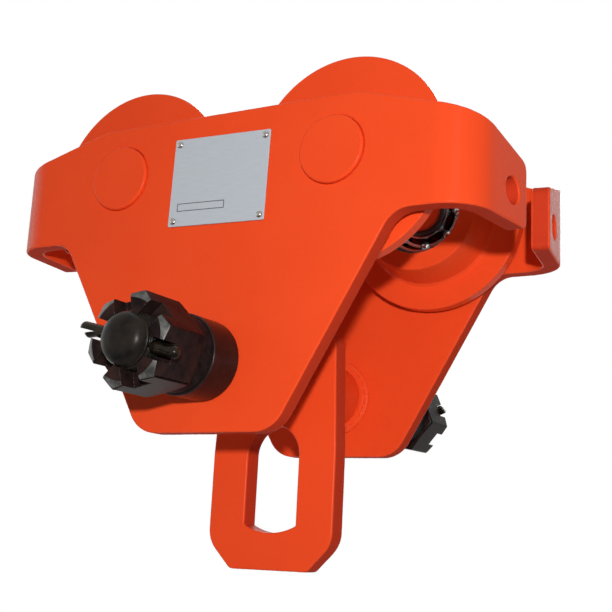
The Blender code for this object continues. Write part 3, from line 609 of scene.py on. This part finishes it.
wheel = {
    "steps": 128, "arcStep": 0.4,
    "profile": [
        (22, 14.6, 0.5), (54.6, 14.6, 0.6), (54.6, 21.8, 0.7), (41.3, 23.1, 1.4),
        (39.8, 24.6, 1.0), (36.2, 44, 1.3), (26.3, 44, 0.6),
        (26.3, 38.1, 0), (27.7, 38.1, 0), (27.7, 36.3, 0), (26.3, 36.3, 0),
        (26.3, 20.7, 0), (22, 20.7, 0.3),
    ],
}
axle = {
    "steps": 96, "arcStep": 0.3,
    "profile": [
        (0, -1.8, 0), (17.72, -1.8, 1.3), (17.72, 10.3, 0), (20, 10.3, 0.3), (20, 13.7, 0.4),
        (15.9, 13.7, 0.2), (15.9, 20.7, 0.3), (12.2, 20.7, 0),
        (12.2, 36.3, 0), (11.1, 36.3, 0), (11.1, 38.1, 0), (12.2, 38.1, 0.1),
        (12.2, 41.1, 0.9), (0, 41.1, 0),
    ],
}
bearing = {
    "start": 21, "width": 15, "bore": 12.5, "outer": 26, "wall": 3.4, "chamfer": 0.8,
    "raceSlack": 0.15, "raceSteps": 10, "ball": 3.9, "balls": 8, "cageHalf": (0.9, 2.3), "cageEdge": 0.2,
    "steps": 72,
}
clip = {
    "start": 36.45, "thickness": 1.5, "bore": (24.1, 27.4), "axle": (11.4, 14.6),
    "lug": 3.0, "lugWidth": 2.9, "lugRoot": 0.03, "eye": 0.8, "opening": radians(20), "steps": 60,
}


def bearingRing(name, wallRadius, raceRadius):
    low, high = bearing["start"], bearing["start"] + bearing["width"]
    middle, track = (low + high) / 2, (bearing["bore"] + bearing["outer"]) / 2
    curve = bearing["ball"] + bearing["raceSlack"]
    half = sqrt(curve**2 - (raceRadius - track) ** 2)
    away = 1 if raceRadius > track else -1
    race = []
    for k in range(bearing["raceSteps"] + 1):
        height = -half + 2 * half * k / bearing["raceSteps"]
        race.append(Vector((track + away * sqrt(curve**2 - height**2), middle + height)))
    across, up = Vector((away * bearing["chamfer"], 0)), Vector((0, bearing["chamfer"]))
    lowWall, highWall = Vector((wallRadius, low)), Vector((wallRadius, high))
    profile = [lowWall + up, lowWall - across, Vector((raceRadius, low)), *race]
    profile += [Vector((raceRadius, high)), highWall - across, highWall - up]
    return meshFrom(turned(profile, bearing["steps"]), name)


def ballSet():
    middle = bearing["start"] + bearing["width"] / 2
    track = (bearing["bore"] + bearing["outer"]) / 2
    across, up = bearing["cageHalf"]
    corners = ((-1, -1), (1, -1), (1, 1), (-1, 1))
    cage = [(track + x * across, middle + z * up, bearing["cageEdge"]) for x, z in corners]
    bm = turned(cornered(cage), bearing["steps"])
    for k in range(bearing["balls"]):
        angle = 2 * pi * k / bearing["balls"]
        place = Matrix.Translation((track * cos(angle), track * sin(angle), middle))
        bmesh.ops.create_uvsphere(bm, u_segments=24, v_segments=14, radius=bearing["ball"], matrix=place)
    return meshFrom(bm, "ballSet")


def snapRing(inner, outer, lugsInside):
    gap, lugTurn = clip["opening"], clip["lugWidth"] / ((inner + outer) / 2)
    tip = inner - clip["lug"] if lugsInside else outer + clip["lug"]

    def polar(radius, angle):
        return Vector((radius * cos(angle), radius * sin(angle)))

    def sweep(radius, first, last):
        return [polar(radius, first + (last - first) * k / clip["steps"]) for k in range(clip["steps"] + 1)]

    full = 2 * pi
    lugStart, lugEnd = gap + lugTurn, full - gap - lugTurn  # where each lug meets the ring
    if lugsInside:
        contour = sweep(outer, gap, full - gap)
        contour += [polar(tip, full - gap), polar(tip, lugEnd), polar(inner, lugEnd)]
        contour += sweep(inner, lugEnd - clip["lugRoot"], lugStart + clip["lugRoot"])
        contour += [polar(inner, lugStart), polar(tip, lugStart), polar(tip, gap)]
    else:
        contour = sweep(outer, lugStart, lugEnd)
        contour += [polar(tip, lugEnd), polar(tip, full - gap)]
        contour += sweep(inner, full - gap, gap)
        contour += [polar(tip, gap), polar(tip, lugStart)]
    middle = (tip + (inner if lugsInside else outer)) / 2
    spots = [polar(middle, gap + lugTurn / 2), polar(middle, full - gap - lugTurn / 2)]
    eyes = [circle(spot.x, spot.y, clip["eye"], clip["eye"] / 2) for spot in spots]
    bm = cutPlate(contour, eyes, clip["thickness"], 0)
    bmesh.ops.rotate(bm, verts=bm.verts, cent=(0, 0, 0), matrix=Matrix.Rotation(pi / 2, 3, "X"))
    bmesh.ops.translate(bm, verts=bm.verts, vec=(0, 0, clip["start"]))
    return meshFrom(bm, "snapRing")


wheelMesh = meshFrom(turned(cornered(wheel["profile"], wheel["arcStep"]), wheel["steps"]), "wheel")
axleMesh = meshFrom(turned(cornered(axle["profile"], axle["arcStep"]), axle["steps"]), "axle")
outerRing = bearingRing("outerRing", bearing["outer"], bearing["outer"] - bearing["wall"])
innerRing = bearingRing("innerRing", bearing["bore"], bearing["bore"] + bearing["wall"])
balls = ballSet()
boreClip = snapRing(*clip["bore"], True)
axleClip = snapRing(*clip["axle"], False)
steel, spring = bright["groundBearingSteel"], bright["phosphatedSpringSteel"]

# piece, mesh, finish, body that it rides on, nodes that it replaces, slot
wheelPieces = [
    ("wheel", wheelMesh, enamel, "rolling_wheel", ("wheel_flange", "wheel_tread"), "orange_enamel"),
    ("axle", axleMesh, enamel, None, ("wheel_axle",), "orange_enamel"),
    ("bearingOuterRing", outerRing, steel, "rolling_wheel", ("bearing_outer_ring",), "bearing_steel"),
    ("bearingInnerRing", innerRing, steel, None, ("bearing_inner_ring",), "bearing_steel"),
    ("ballSet", balls, steel, "ball_set", ("bearing_ball_cage",), "bearing_steel"),
    ("boreClip", boreClip, spring, "rolling_wheel", ("bore_circlip",), "spring_steel"),
    ("axleClip", axleClip, spring, None, ("axle_circlip",), "spring_steel"),
]
for side, turn in sides.items():
    for end, x in (("left", -halfPitch), ("right", halfPitch)):
        spot = f"{side}_{end}"
        across = x if side == "front" else -x
        place = sidePlace(turn) @ Matrix.Translation((across * mm, 0, 0)) @ onY
        for name, mesh, finish, rider, nodes, slot in wheelPieces:
            body = f"{rider}_{spot}" if rider else "frame"
            addPiece(f"{name}_{spot}", mesh, finish, body, [f"{node}_{spot}" for node in nodes], place)
print("wheels made")


# load shaft, nuts and pins

shaft = {
    "radius": 13.5, "pitch": 2.0, "depth": 1.35, "thread": 40, "columns": 120, "row": 0.16, "proud": 7.2,
    # each end is a gentle dome with round shoulders
    "crown": 30, "crownEdge": 7.5, "shoulder": 7, "lead": 1.5, "endFlat": 2.0,
    "runOut": 5,  # mm over which the thread ends
    "crestFlat": 1 / 16, "rootFrom": 3 / 8,  # of the pitch, on each side of the crest
}
nut = {
    "flats": 41, "height": 30, "slot": 9.6, "slotDepth": 9.5, "soften": 0.8,
    "chamfer": radians(30), "seatInset": 0.8, "topInset": 1.1, "topSteeper": 1.2,
    "coneSteps": 120, "coneClear": 1.06,  # of the corners' radius
    "tapRow": 0.25, "tapPast": 2, "chamferNormal": (0.6, 0.97), "chamferFrom": 17,
    "turn": {"front": radians(17.5), "rear": radians(-20)},
}
pin = {
    "radius": 3.0, "head": 27.6, "fold": 0.25,
    "rise": -0.2, "droop": 2.0, "curl": 1.5,  # how far each leg is bent, and how late along it
    "closing": ((5, 0), (2.5, 0.4)),  # mm before the fold, and the share of the fold's opening there
    "turn": {"front": radians(15.2), "rear": radians(160)},
    "legs": {"front": (30.2, 27.2), "rear": (22.8, 21.8)},
    "roll": radians(16),
    "lift": 25.5,  # mm from the nut's seat
    "seam": 0.1, "legSteps": 12, "foldSteps": 14, "roundSteps": 14, "tips": (0.72, 0.93, 1),
    "drill": (3.25, 30), "drillSteps": 32,  # its hole through the shaft, radius and half length
}
stacks = {
    "front": outerFace + lengths["shortSleeve"] + lengths["washer"],
    "rear": outerFace + lengths["shortSleeve"] + lengths["longSleeve"] + lengths["washer"],
}
seats = {"front": -stacks["front"], "rear": stacks["rear"]}  # y of each nut's seat, mm


def threadRadius(angle, height):
    # a right-hand thread in the nut's own frame, whose z runs outwards along the shaft
    phase = (height / shaft["pitch"] - angle / (2 * pi)) % 1
    off = min(phase, 1 - phase)  # 0 on the crest, 0.5 in the root
    flank = (off - shaft["crestFlat"]) / (shaft["rootFrom"] - shaft["crestFlat"])
    return shaft["radius"] - shaft["depth"] * min(1, max(0, flank))


def tube(rows, columns):
    # a closed skin from rows of (height, radius function), capped flat at both ends
    bm = bmesh.new()
    rings = []
    for height, radiusAt in rows:
        ring = []
        for k in range(columns):
            angle = 2 * pi * k / columns
            radius = radiusAt(angle)
            ring.append(bm.verts.new((radius * cos(angle), radius * sin(angle), height)))
        rings.append(ring)
    for ring, after in zip(rings, rings[1:]):
        for k in range(columns):
            bm.faces.new((ring[k - 1], ring[k], after[k], after[k - 1]))
    bm.faces.new(rings[0])
    bm.faces.new(rings[-1])
    return bm


def loadShaft():
    # drawn about Z, which is world +Y, with x as it is and y as world -z
    first = seats["front"] - nut["height"] - shaft["proud"]
    last = seats["rear"] + nut["height"] + shaft["proud"]

    def endRadius(fromEnd):
        crown, edge, bend = shaft["crown"], shaft["crownEdge"], shaft["shoulder"]
        sunk = fromEnd + crown - sqrt(crown**2 - shaft["endFlat"] ** 2)
        edgeSunk = crown - sqrt(crown**2 - edge**2)
        if sunk < edgeSunk:
            return sqrt(sunk * (2 * crown - sunk))
        leanSin = edge / crown
        leanCos = sqrt(1 - leanSin**2)
        fall = leanCos - (sunk - edgeSunk) / bend
        widest = edge + bend * (1 - leanSin)
        if fall > 0:
            return edge + bend * (sqrt(1 - fall**2) - leanSin)
        return min(shaft["radius"], widest + (shaft["radius"] - widest) * -fall * bend / shaft["lead"])

    def radiusAt(height):
        fromEnd = min(height - first, last - height)
        limit = endRadius(fromEnd)
        fade = min(1, max(0, (shaft["thread"] - fromEnd) / shaft["runOut"]))

        def atAngle(angle):
            if fade == 0:
                return min(limit, shaft["radius"])
            if height < 0:
                cut = threadRadius(-angle + nut["turn"]["front"], seats["front"] - height)
            else:
                cut = threadRadius(angle - nut["turn"]["rear"], height - seats["rear"])
            return min(limit, shaft["radius"] + (cut - shaft["radius"]) * fade)

        return atAngle

    count = round(shaft["thread"] / shaft["row"])
    heights = [first + shaft["thread"] * k / count for k in range(count + 1)]
    heights += [last - shaft["thread"] * (1 - k / count) for k in range(count + 1)]
    bm = tube([(height, radiusAt(height)) for height in heights], shaft["columns"])
    bar = meshFrom(bm, "loadShaft")
    bore, half = pin["drill"]
    drillProfile = [(0, -half), (bore, -half), (bore, half), (0, half)]
    drills = []
    for side, seat in seats.items():
        away = -1 if side == "front" else 1
        drill = meshFrom(turned(drillProfile, pin["drillSteps"]), "drill")
        spin = Matrix.Rotation(pin["turn"][side], 4, "Z") @ Matrix.Rotation(pi / 2, 4, "Y")
        level = Matrix.Translation((0, 0, (seat + away * pin["lift"]) * mm))
        drills.append(("DIFFERENCE", drill, level @ spin))
    return combined(bar, drills)


def castleNut():
    corner = nut["flats"] / sqrt(3)
    height = nut["height"]
    bm = bmesh.new()
    angles = [pi / 6 + k * pi / 3 for k in range(6)]
    face = bm.faces.new([bm.verts.new((corner * cos(a), corner * sin(a), 0)) for a in angles])
    pushed = bmesh.ops.extrude_face_region(bm, geom=[face])
    moved = [v for v in pushed["geom"] if isinstance(v, bmesh.types.BMVert)]
    bmesh.ops.translate(bm, verts=moved, vec=(0, 0, height))
    prism = meshFrom(bm, "castleNut")
    flat, wide = nut["flats"] / 2, corner * nut["coneClear"]
    drop, past = (wide - flat) * tan(nut["chamfer"]), 0.01
    cone = meshFrom(turned([
        (0, -past), (flat - nut["seatInset"], -past), (wide, drop), (wide, height - nut["topSteeper"] * drop),
        (flat - nut["topInset"], height + past), (0, height + past),
    ], nut["coneSteps"]), "cone")
    tools = [("INTERSECT", cone, Matrix()), ("SOFTEN", None, None)]
    for k in range(3):
        bm = bmesh.new()
        bmesh.ops.create_cube(bm, size=1)
        bmesh.ops.scale(bm, verts=bm.verts, vec=(4 * corner, nut["slot"], 2 * nut["slotDepth"]))
        slot = meshFrom(bm, "slot")
        aim = Matrix.Rotation(k * pi / 3, 4, "Z")
        tools.append(("DIFFERENCE", slot, aim @ Matrix.Translation((0, 0, height * mm))))
    rows = []
    tapLength = height + 2 * nut["tapPast"]
    count = round(tapLength / nut["tapRow"])
    for k in range(count + 1):
        level = -nut["tapPast"] + tapLength * k / count
        rows.append((level, lambda angle, level=level: threadRadius(angle, level) + fitGap))
    tools.append(("DIFFERENCE", meshFrom(tube(rows, shaft["columns"]), "tap"), Matrix()))
    made = combined(prism, tools, nut["soften"])
    # the outer chamfer takes the lighter grey: painted highlight
    least, most = nut["chamferNormal"]
    for face in made.polygons:
        onChamfer = least < face.normal.z < most and face.center.xy.length / mm > nut["chamferFrom"]
        face.material_index = 1 if onChamfer else 0
    return made


def splitPin(legs):
    # half-round wire folded at its head: head towards +X, legs towards -X
    seam = pin["seam"]
    foldAt = pin["head"] - pin["radius"] - pin["fold"]
    parting = -nut["flats"] / 2
    runs = []
    for length, side in zip(legs, (1, -1)):
        tipAt = -length
        run = []
        for k in range(pin["legSteps"] + 1):
            share = k / pin["legSteps"]
            x = tipAt + (parting - tipAt) * share
            apart = pin["rise"] if side > 0 else pin["droop"]
            run.append(Vector((x, side * (seam + apart * (1 - share) ** pin["curl"]))))
        for before, share in pin["closing"]:
            run.append(Vector((foldAt - before, side * (seam + (pin["fold"] - seam) * share))))
        runs.append(run)
    upper, lower = runs
    foldTurns = [pi / 2 - pi * k / pin["foldSteps"] for k in range(pin["foldSteps"] + 1)]
    fold = [Vector((foldAt + pin["fold"] * cos(a), pin["fold"] * sin(a))) for a in foldTurns]
    path = upper + fold + lower[::-1]
    bm = bmesh.new()
    rings = []
    sideCount = pin["roundSteps"]
    for i, point in enumerate(path):
        ahead = (path[min(i + 1, len(path) - 1)] - path[max(i - 1, 0)]).normalized()
        out = Vector((-ahead.y, ahead.x))
        fromTip = min(i, len(path) - 1 - i)
        size = (pin["radius"] - seam) * pin["tips"][min(fromTip, 2)]
        ring = []
        for k in range(sideCount + 1):
            turn = -pi / 2 + pi * k / sideCount
            place = point + out * size * cos(turn)
            ring.append(bm.verts.new((place.x, place.y, size * sin(turn))))
        rings.append(ring)
    for ring, after in zip(rings, rings[1:]):
        for k in range(sideCount + 1):
            bm.faces.new((ring[k - 1], ring[k], after[k], after[k - 1]))
    bm.faces.new(rings[0])
    bm.faces.new(rings[-1])
    return meshFrom(bm, "splitPin")


onShaft = Matrix.Translation((0, 0, shaftHeight * mm))
addPiece(
    "loadShaft", loadShaft(), black["oiledTurnedSteel"], "frame", ["load_shaft"],
    onShaft @ onY,
)
nutMesh = castleNut()
for side, seat in seats.items():
    away = -1 if side == "front" else 1
    aim = offY if away < 0 else onY
    seated = onShaft @ Matrix.Translation((0, (seat + away * fitGap) * mm, 0))
    addPiece(
        f"castleNut_{side}", nutMesh, black["oiledBlackOxide"], "frame", [f"castle_nut_{side}"],
        seated @ Matrix.Rotation(nut["turn"][side], 4, "Y") @ aim,
        softenAngle, black["nutChamferPaintedHighlight"],
    )
    held = onShaft @ Matrix.Translation((0, (seat + away * pin["lift"]) * mm, 0))
    addPiece(
        f"splitPin_{side}", splitPin(pin["legs"][side]), black["oiledPinWire"], "frame",
        [f"split_pin_{side}"],
        held @ Matrix.Rotation(pin["turn"][side], 4, "Y") @ Matrix.Rotation(pin["roll"], 4, "X") @ offY,
    )
print("shaft, nuts and pins made")


# tubes on the shaft

tubes = {
    "sleeve": 20.1, "sleeveEdge": 0.7, "plateEdge": 2.6, "spacer": 18.0, "spacerEdge": 0.6, "boreEdge": 0.3,
    "arcStep": 0.3, "steps": 96,
}
washer = {
    "radius": 19.2, "thickness": 10.4, "edges": (0.9, 1.1), "arcStep": 0.35, "lineStep": 0.8, "steps": 160,
    "ragged": 0.22, "raggedFrom": 16, "raggedOver": 3.2, "sunk": 0.3,
    "coarse": 0.9, "fine": 2.1, "fineShare": 0.5,
}


def sleeve(name, radius, length, edge, plateEdge):
    top = length - fitGap
    return meshFrom(turned(cornered([
        (shaftBore, 0, tubes["boreEdge"]), (radius, 0, plateEdge), (radius, top, edge),
        (shaftBore, top, tubes["boreEdge"]),
    ], tubes["arcStep"]), tubes["steps"]), name)


def raggedWasher():
    # sheared from rolled bar: a torn outer edge and dented faces
    radius, top, (low, high) = washer["radius"], washer["thickness"], washer["edges"]
    bm = turned(cornered([
        (shaftBore, 0, tubes["boreEdge"]), (radius, 0, low), (radius, top, high),
        (shaftBore, top, tubes["boreEdge"]),
    ], washer["arcStep"], washer["lineStep"]), washer["steps"])
    for vertex in bm.verts:
        spread = Vector((vertex.co.x, vertex.co.y))
        share = max(0, (spread.length - washer["raggedFrom"]) / washer["raggedOver"])
        fine = noise.noise(vertex.co * washer["fine"])
        bump = noise.noise(vertex.co * washer["coarse"]) + washer["fineShare"] * fine
        push = spread.normalized() * (washer["ragged"] * share * (bump - washer["sunk"]))
        vertex.co.x += push.x
        vertex.co.y += push.y
    return meshFrom(bm, "washer")


washerMesh = raggedWasher()
edge, spacerEdge = tubes["sleeveEdge"], tubes["spacerEdge"]
shortSleeve = sleeve("shortSleeve", tubes["sleeve"], lengths["shortSleeve"], edge, tubes["plateEdge"])
longSleeve = sleeve("longSleeve", tubes["sleeve"], lengths["longSleeve"], edge, edge)
spacerMesh = sleeve("innerSpacer", tubes["spacer"], lengths["innerSpacer"], spacerEdge, spacerEdge)
turnedSleeve, scaled = black["blackenedTurnedSteel"], black["millScaleWasher"]
sleeveSlot, washerSlot = "dark_sleeve_steel", "black_oxide_steel"
hangerFace = 6  # mm from the middle to the hanger's faces
shortEnd = outerFace + lengths["shortSleeve"]
longEnd = shortEnd + lengths["longSleeve"]
# piece, mesh, finish, node that it replaces, slot, mm from the middle, towards
stack = [
    ("outerSleeve_front", shortSleeve, turnedSleeve, "outer_sleeve_front", sleeveSlot, outerFace, -1),
    ("spacerWasher_front", washerMesh, scaled, "spacer_washer_front", washerSlot, shortEnd, -1),
    ("outerSleeve_rearShort", shortSleeve, turnedSleeve, "outer_sleeve_rear_short", sleeveSlot, outerFace, 1),
    ("outerSleeve_rearLong", longSleeve, turnedSleeve, "outer_sleeve_rear_long", sleeveSlot, shortEnd, 1),
    ("spacerWasher_rear", washerMesh, scaled, "spacer_washer_rear", washerSlot, longEnd, 1),
    ("innerSpacer_front", spacerMesh, enamel, "inner_spacer_front", "orange_enamel", hangerFace, -1),
    ("innerSpacer_rear", spacerMesh, enamel, "inner_spacer_rear", "orange_enamel", hangerFace, 1),
]
for name, mesh, finish, node, slot, start, away in stack:
    aim = onY if away > 0 else offY
    place = onShaft @ Matrix.Translation((0, away * (start + fitGap) * mm, 0)) @ aim
    addPiece(name, mesh, finish, "frame", [node], place)


# collars, welded on with a rippled bead

collar = {"radius": 20.4, "thickness": 3.7, "edge": 0.9, "boreEdge": 0.4}
bead = {
    "size": 2.3, "ripples": 58, "ripple": 0.06, "drift": 0.08, "driftStep": 0.05, "seed": 4.2,
    "sunk": (0.3, 0.05), "fullness": 0.8, "section": 9, "rippleSteps": 6,
}


def weldedCollar():
    radius, top = collar["radius"], collar["thickness"]
    bm = turned(cornered([
        (shaftBore, 0, 0), (radius, 0, 0), (radius, top, collar["edge"]),
        (shaftBore, top, collar["boreEdge"]),
    ], tubes["arcStep"]), tubes["steps"])
    around, section = bead["rippleSteps"] * bead["ripples"], bead["section"]
    rings = []
    for i in range(around):
        angle = 2 * pi * i / around
        drift = noise.noise(Vector((i * bead["driftStep"], bead["seed"], 0)))
        swell = 1 + bead["ripple"] * abs(sin(bead["ripples"] * angle / 2)) + bead["drift"] * drift
        size = bead["size"] * swell
        ring = []
        for k in range(section):
            turn = pi * k / (section - 1)  # over the bead, which is closed inside the collar
            reach = radius - bead["sunk"][0] + size * sin(turn) ** bead["fullness"]
            height = size * (0.5 + 0.5 * cos(turn)) - bead["sunk"][1]
            ring.append(bm.verts.new((reach * cos(angle), reach * sin(angle), height)))
        rings.append(ring)
    for i, ring in enumerate(rings):
        for k in range(section):
            bm.faces.new((rings[i - 1][k - 1], rings[i - 1][k], ring[k], ring[k - 1]))
    return meshFrom(bm, "weldedCollar")


collarMesh = weldedCollar()
for side, turn in sides.items():
    onFace = Matrix.Translation((0, (plate["thickness"] + fitGap) * mm, -shaftDrop * mm))
    addPiece(
        f"weldedCollar_{side}", collarMesh, enamel, "frame", [f"welded_collar_{side}"],
        sidePlace(turn) @ onFace @ onY,
    )
print("tubes and collars made")


# hanger plate

hanger = {
    "thickness": 12, "half": 38.2, "bottom": -203.5, "top": -67, "chamfer": 14.5, "corner": 4, "shoulder": 16,
    "neck": 35.6, "neckFrom": -142, "neckBend": 60,  # the sides draw in towards the top
    "slotHalf": 16, "arch": -143, "floorEdge": -180, "sag": 4,
    "floorSteps": 30, "sideSteps": 24, "archSteps": 48,
    "rim": 1.0, "cutStep": 1.1, "cutDepth": 0.09, "seed": 15.1,
}


def hangerPlate():
    half, top, bottom, cut, soft = (hanger[key] for key in ("half", "top", "bottom", "chamfer", "corner"))
    neck = hanger["neck"]
    right = [
        (half - cut, bottom, soft), (half, bottom + cut, hanger["shoulder"]),
        (half, hanger["neckFrom"], hanger["neckBend"]), (neck, top - cut, soft), (neck - cut, top, soft),
    ]
    left = [(-x, z, radius) for x, z, radius in reversed(right)]
    outer = cornered(right + left, hanger["cutStep"], hanger["cutStep"])
    wide, arch, floorEdge = hanger["slotHalf"], hanger["arch"], hanger["floorEdge"]
    floorRadius = (wide**2 + hanger["sag"] ** 2) / (2 * hanger["sag"])
    floorCentre = floorEdge - hanger["sag"] + floorRadius
    slot = []
    for k in range(hanger["floorSteps"] + 1):
        x = wide * (2 * k / hanger["floorSteps"] - 1)
        slot.append(Vector((x, floorCentre - sqrt(floorRadius**2 - x**2))))
    sideShares = [k / hanger["sideSteps"] for k in range(1, hanger["sideSteps"])]
    slot += [Vector((wide, floorEdge + (arch - floorEdge) * share)) for share in sideShares]
    for k in range(hanger["archSteps"] + 1):
        angle = pi * k / hanger["archSteps"]
        slot.append(Vector((wide * cos(angle), arch + wide * sin(angle))))
    slot += [Vector((-wide, arch + (floorEdge - arch) * share)) for share in sideShares]
    bm = cutPlate(
        outer, [slot, circle(0, -shaftDrop, shaftBore)],
        hanger["thickness"], hanger["rim"], hanger["cutDepth"], hanger["seed"],
    )
    bmesh.ops.translate(bm, verts=bm.verts, vec=(0, -hanger["thickness"] / 2, shaftDrop))
    return meshFrom(bm, "hangerPlate")


addPiece(
    "hangerPlate", hangerPlate(), enamel, "hanger", ["hanger_plate"], onShaft,
    edgeFinish=cutEdge,
)
print("hanger plate made")


# nameplate, left bare apart from an empty ruled box

nameplate = {
    "width": 58.7, "height": 47.9, "thickness": 0.8, "below": 8, "lean": radians(1.5),
    "corner": 0.8, "rim": 0.2, "arcStep": 0.2, "inset": 2.9, "hole": 1.5, "holeStep": 0.4,
}
ruledBox = {"left": -24.5, "right": 4.8, "top": -11.6, "bottom": -15.9, "line": 0.4, "film": 0.05}
rivet = {"radius": 1.8, "dome": 1.1, "shank": 1.2, "length": 5, "lift": 0.35, "domeSteps": 10, "steps": 40}

plateMiddle = Matrix.Translation((0, -outerFace * mm, (axleHeight - nameplate["below"]) * mm))
onPlate = plateMiddle @ Matrix.Rotation(nameplate["lean"], 4, "Y")
halfWidth, halfHeight = nameplate["width"] / 2, nameplate["height"] / 2
rivetSpots = [
    (side * (halfWidth - nameplate["inset"]), level * (halfHeight - nameplate["inset"]))
    for level in (1, -1) for side in (-1, 1)
]
sheet = cutPlate(
    cornered([
        (x * halfWidth, z * halfHeight, nameplate["corner"]) for x, z in ((1, -1), (1, 1), (-1, 1), (-1, -1))
    ], nameplate["arcStep"]),
    [circle(x, z, nameplate["hole"], nameplate["holeStep"]) for x, z in rivetSpots],
    nameplate["thickness"], nameplate["rim"],
)
addPiece(
    "nameplate", meshFrom(sheet, "nameplate"), aluminium, "frame", ["nameplate"],
    onPlate @ Matrix.Translation((0, -(nameplate["thickness"] + fitGap) * mm, 0)),
)


def boxCorners(inset):
    left, right = ruledBox["left"] + inset, ruledBox["right"] - inset
    low, high = ruledBox["bottom"] + inset, ruledBox["top"] - inset
    return [Vector(corner) for corner in ((left, low), (right, low), (right, high), (left, high))]


frameLine = cutPlate(boxCorners(0), [boxCorners(ruledBox["line"])], ruledBox["film"], 0)
addPiece(
    "nameplateBox", meshFrom(frameLine, "nameplateBox"), ink, "frame", [],
    onPlate @ Matrix.Translation((0, -(nameplate["thickness"] + fitGap + ruledBox["film"]) * mm, 0)),
)
domeTurns = [pi / 2 * k / rivet["domeSteps"] for k in range(rivet["domeSteps"] + 1)]
domeCurve = [(rivet["radius"] * sin(a), -rivet["dome"] * cos(a)) for a in domeTurns]
rivetProfile = domeCurve + [(rivet["shank"], 0), (rivet["shank"], rivet["length"]), (0, rivet["length"])]
rivetMesh = meshFrom(turned(rivetProfile, rivet["steps"]), "rivet")
rivetLevel = -(nameplate["thickness"] + rivet["lift"])
for number, (x, z) in enumerate(rivetSpots, start=1):
    addPiece(
        f"nameplateRivet_{number}", rivetMesh, bright["nickelPlatedSteel"], "frame",
        [f"nameplate_rivet_{number}"],
        onPlate @ Matrix.Translation((x * mm, rivetLevel * mm, z * mm)) @ onY,
    )
print("nameplate made")


# stage: pale floor well below the hanging trolley, soft studio light

stage = {
    "floorDrop": 0.7, "floorHalf": 9.0, "floor": "#e9e9e7", "sky": 0.06,
    "clearAfter": (0.9, 2.2),  # m, where the floor fades into the white ground, away from the shadow
    "lampAim": (0, 0, -0.03),
}
lamps = {
    "keyByCamera": {"at": (0.43, -0.7, -0.07), "size": 0.03, "power": 5.6},
    "softUpperRight": {"at": (0.98, -1.2, 0.54), "size": 0.35, "power": 1.4},
    "fillLeft": {"at": (-1.6, -0.35, 0.3), "size": 1.0, "power": 4.6},
    "softBehind": {"at": (-0.5, 1.6, 0.75), "size": 1.0, "power": 20},
    "softAbove": {"at": (0.1, 0.1, 1.6), "size": 1.2, "power": 3.5},
}


def stageFloor():
    bm = bmesh.new()
    half = stage["floorHalf"]
    corners = ((-half, -half), (half, -half), (half, half), (-half, half))
    bm.faces.new([bm.verts.new((x, y, 0)) for x, y in corners])
    mesh = bpy.data.meshes.new("floor")
    bm.to_mesh(mesh)
    bm.free()
    floorPiece = bpy.data.objects.new("floor", mesh)
    floorPiece.location.z = cadBox[0][2] - stage["floorDrop"]
    bpy.context.scene.collection.objects.link(floorPiece)
    made, tree, shader = newMaterial("paleStudioFloor")
    shader.inputs["Base Color"].default_value = srgb(stage["floor"])
    shader.inputs["Roughness"].default_value = 0.8
    ray = addNode(tree, "ShaderNodeLightPath")
    seen = addNode(
        tree, "ShaderNodeMath", {"operation": "MAXIMUM"},
        {0: ray.outputs["Is Camera Ray"], 1: ray.outputs["Is Glossy Ray"]},
    )
    glow = addNode(tree, "ShaderNodeEmission", {"Color": (1, 1, 1, 1), "Strength": 1.0})
    here = addNode(tree, "ShaderNodeTexCoord").outputs["Object"]
    away = addNode(tree, "ShaderNodeVectorMath", {"operation": "LENGTH"}, {0: here})
    near, far = stage["clearAfter"]
    clear = addNode(
        tree, "ShaderNodeMapRange", {"interpolation_type": "SMOOTHSTEP", "From Min": near, "From Max": far},
        {"Value": away.outputs["Value"]},
    )
    share = addNode(
        tree, "ShaderNodeMath", {"operation": "MULTIPLY"}, {0: seen.outputs[0], 1: clear.outputs[0]}
    )
    blend = addNode(
        tree, "ShaderNodeMixShader", None, {0: share.outputs[0], 1: shader.outputs[0], 2: glow.outputs[0]}
    )
    tree.links.new(blend.outputs[0], tree.nodes["Material Output"].inputs["Surface"])
    mesh.materials.append(made)


def stageLight():
    world = bpy.data.worlds.new("studio")
    bpy.context.scene.world = world
    world.use_nodes = True
    tree = world.node_tree
    ray = addNode(tree, "ShaderNodeLightPath")
    seen = addNode(
        tree, "ShaderNodeMath", {"operation": "MAXIMUM"},
        {0: ray.outputs["Is Camera Ray"], 1: ray.outputs["Is Transmission Ray"]},
    )
    shiny = addNode(
        tree, "ShaderNodeMath", {"operation": "MAXIMUM"},
        {0: seen.outputs[0], 1: ray.outputs["Is Glossy Ray"]},
    )
    level = addNode(
        tree, "ShaderNodeMapRange", {"To Min": stage["sky"], "To Max": 1.0}, {"Value": shiny.outputs[0]}
    )
    background = tree.nodes["Background"]
    background.inputs["Color"].default_value = (1, 1, 1, 1)
    tree.links.new(level.outputs[0], background.inputs["Strength"])
    for name, lamp in lamps.items():
        data = bpy.data.lights.new(name, "AREA")
        data.size = lamp["size"]
        data.energy = lamp["power"]
        light = bpy.data.objects.new(name, data)
        bpy.context.scene.collection.objects.link(light)
        aim = Vector(stage["lampAim"]) - Vector(lamp["at"])
        turn = aim.to_track_quat("-Z", "Y").to_matrix().to_4x4()
        light.matrix_world = Matrix.Translation(lamp["at"]) @ turn


stageFloor()
stageLight()
bpy.context.scene.view_settings.view_transform = "Standard"
print("stage and light made")
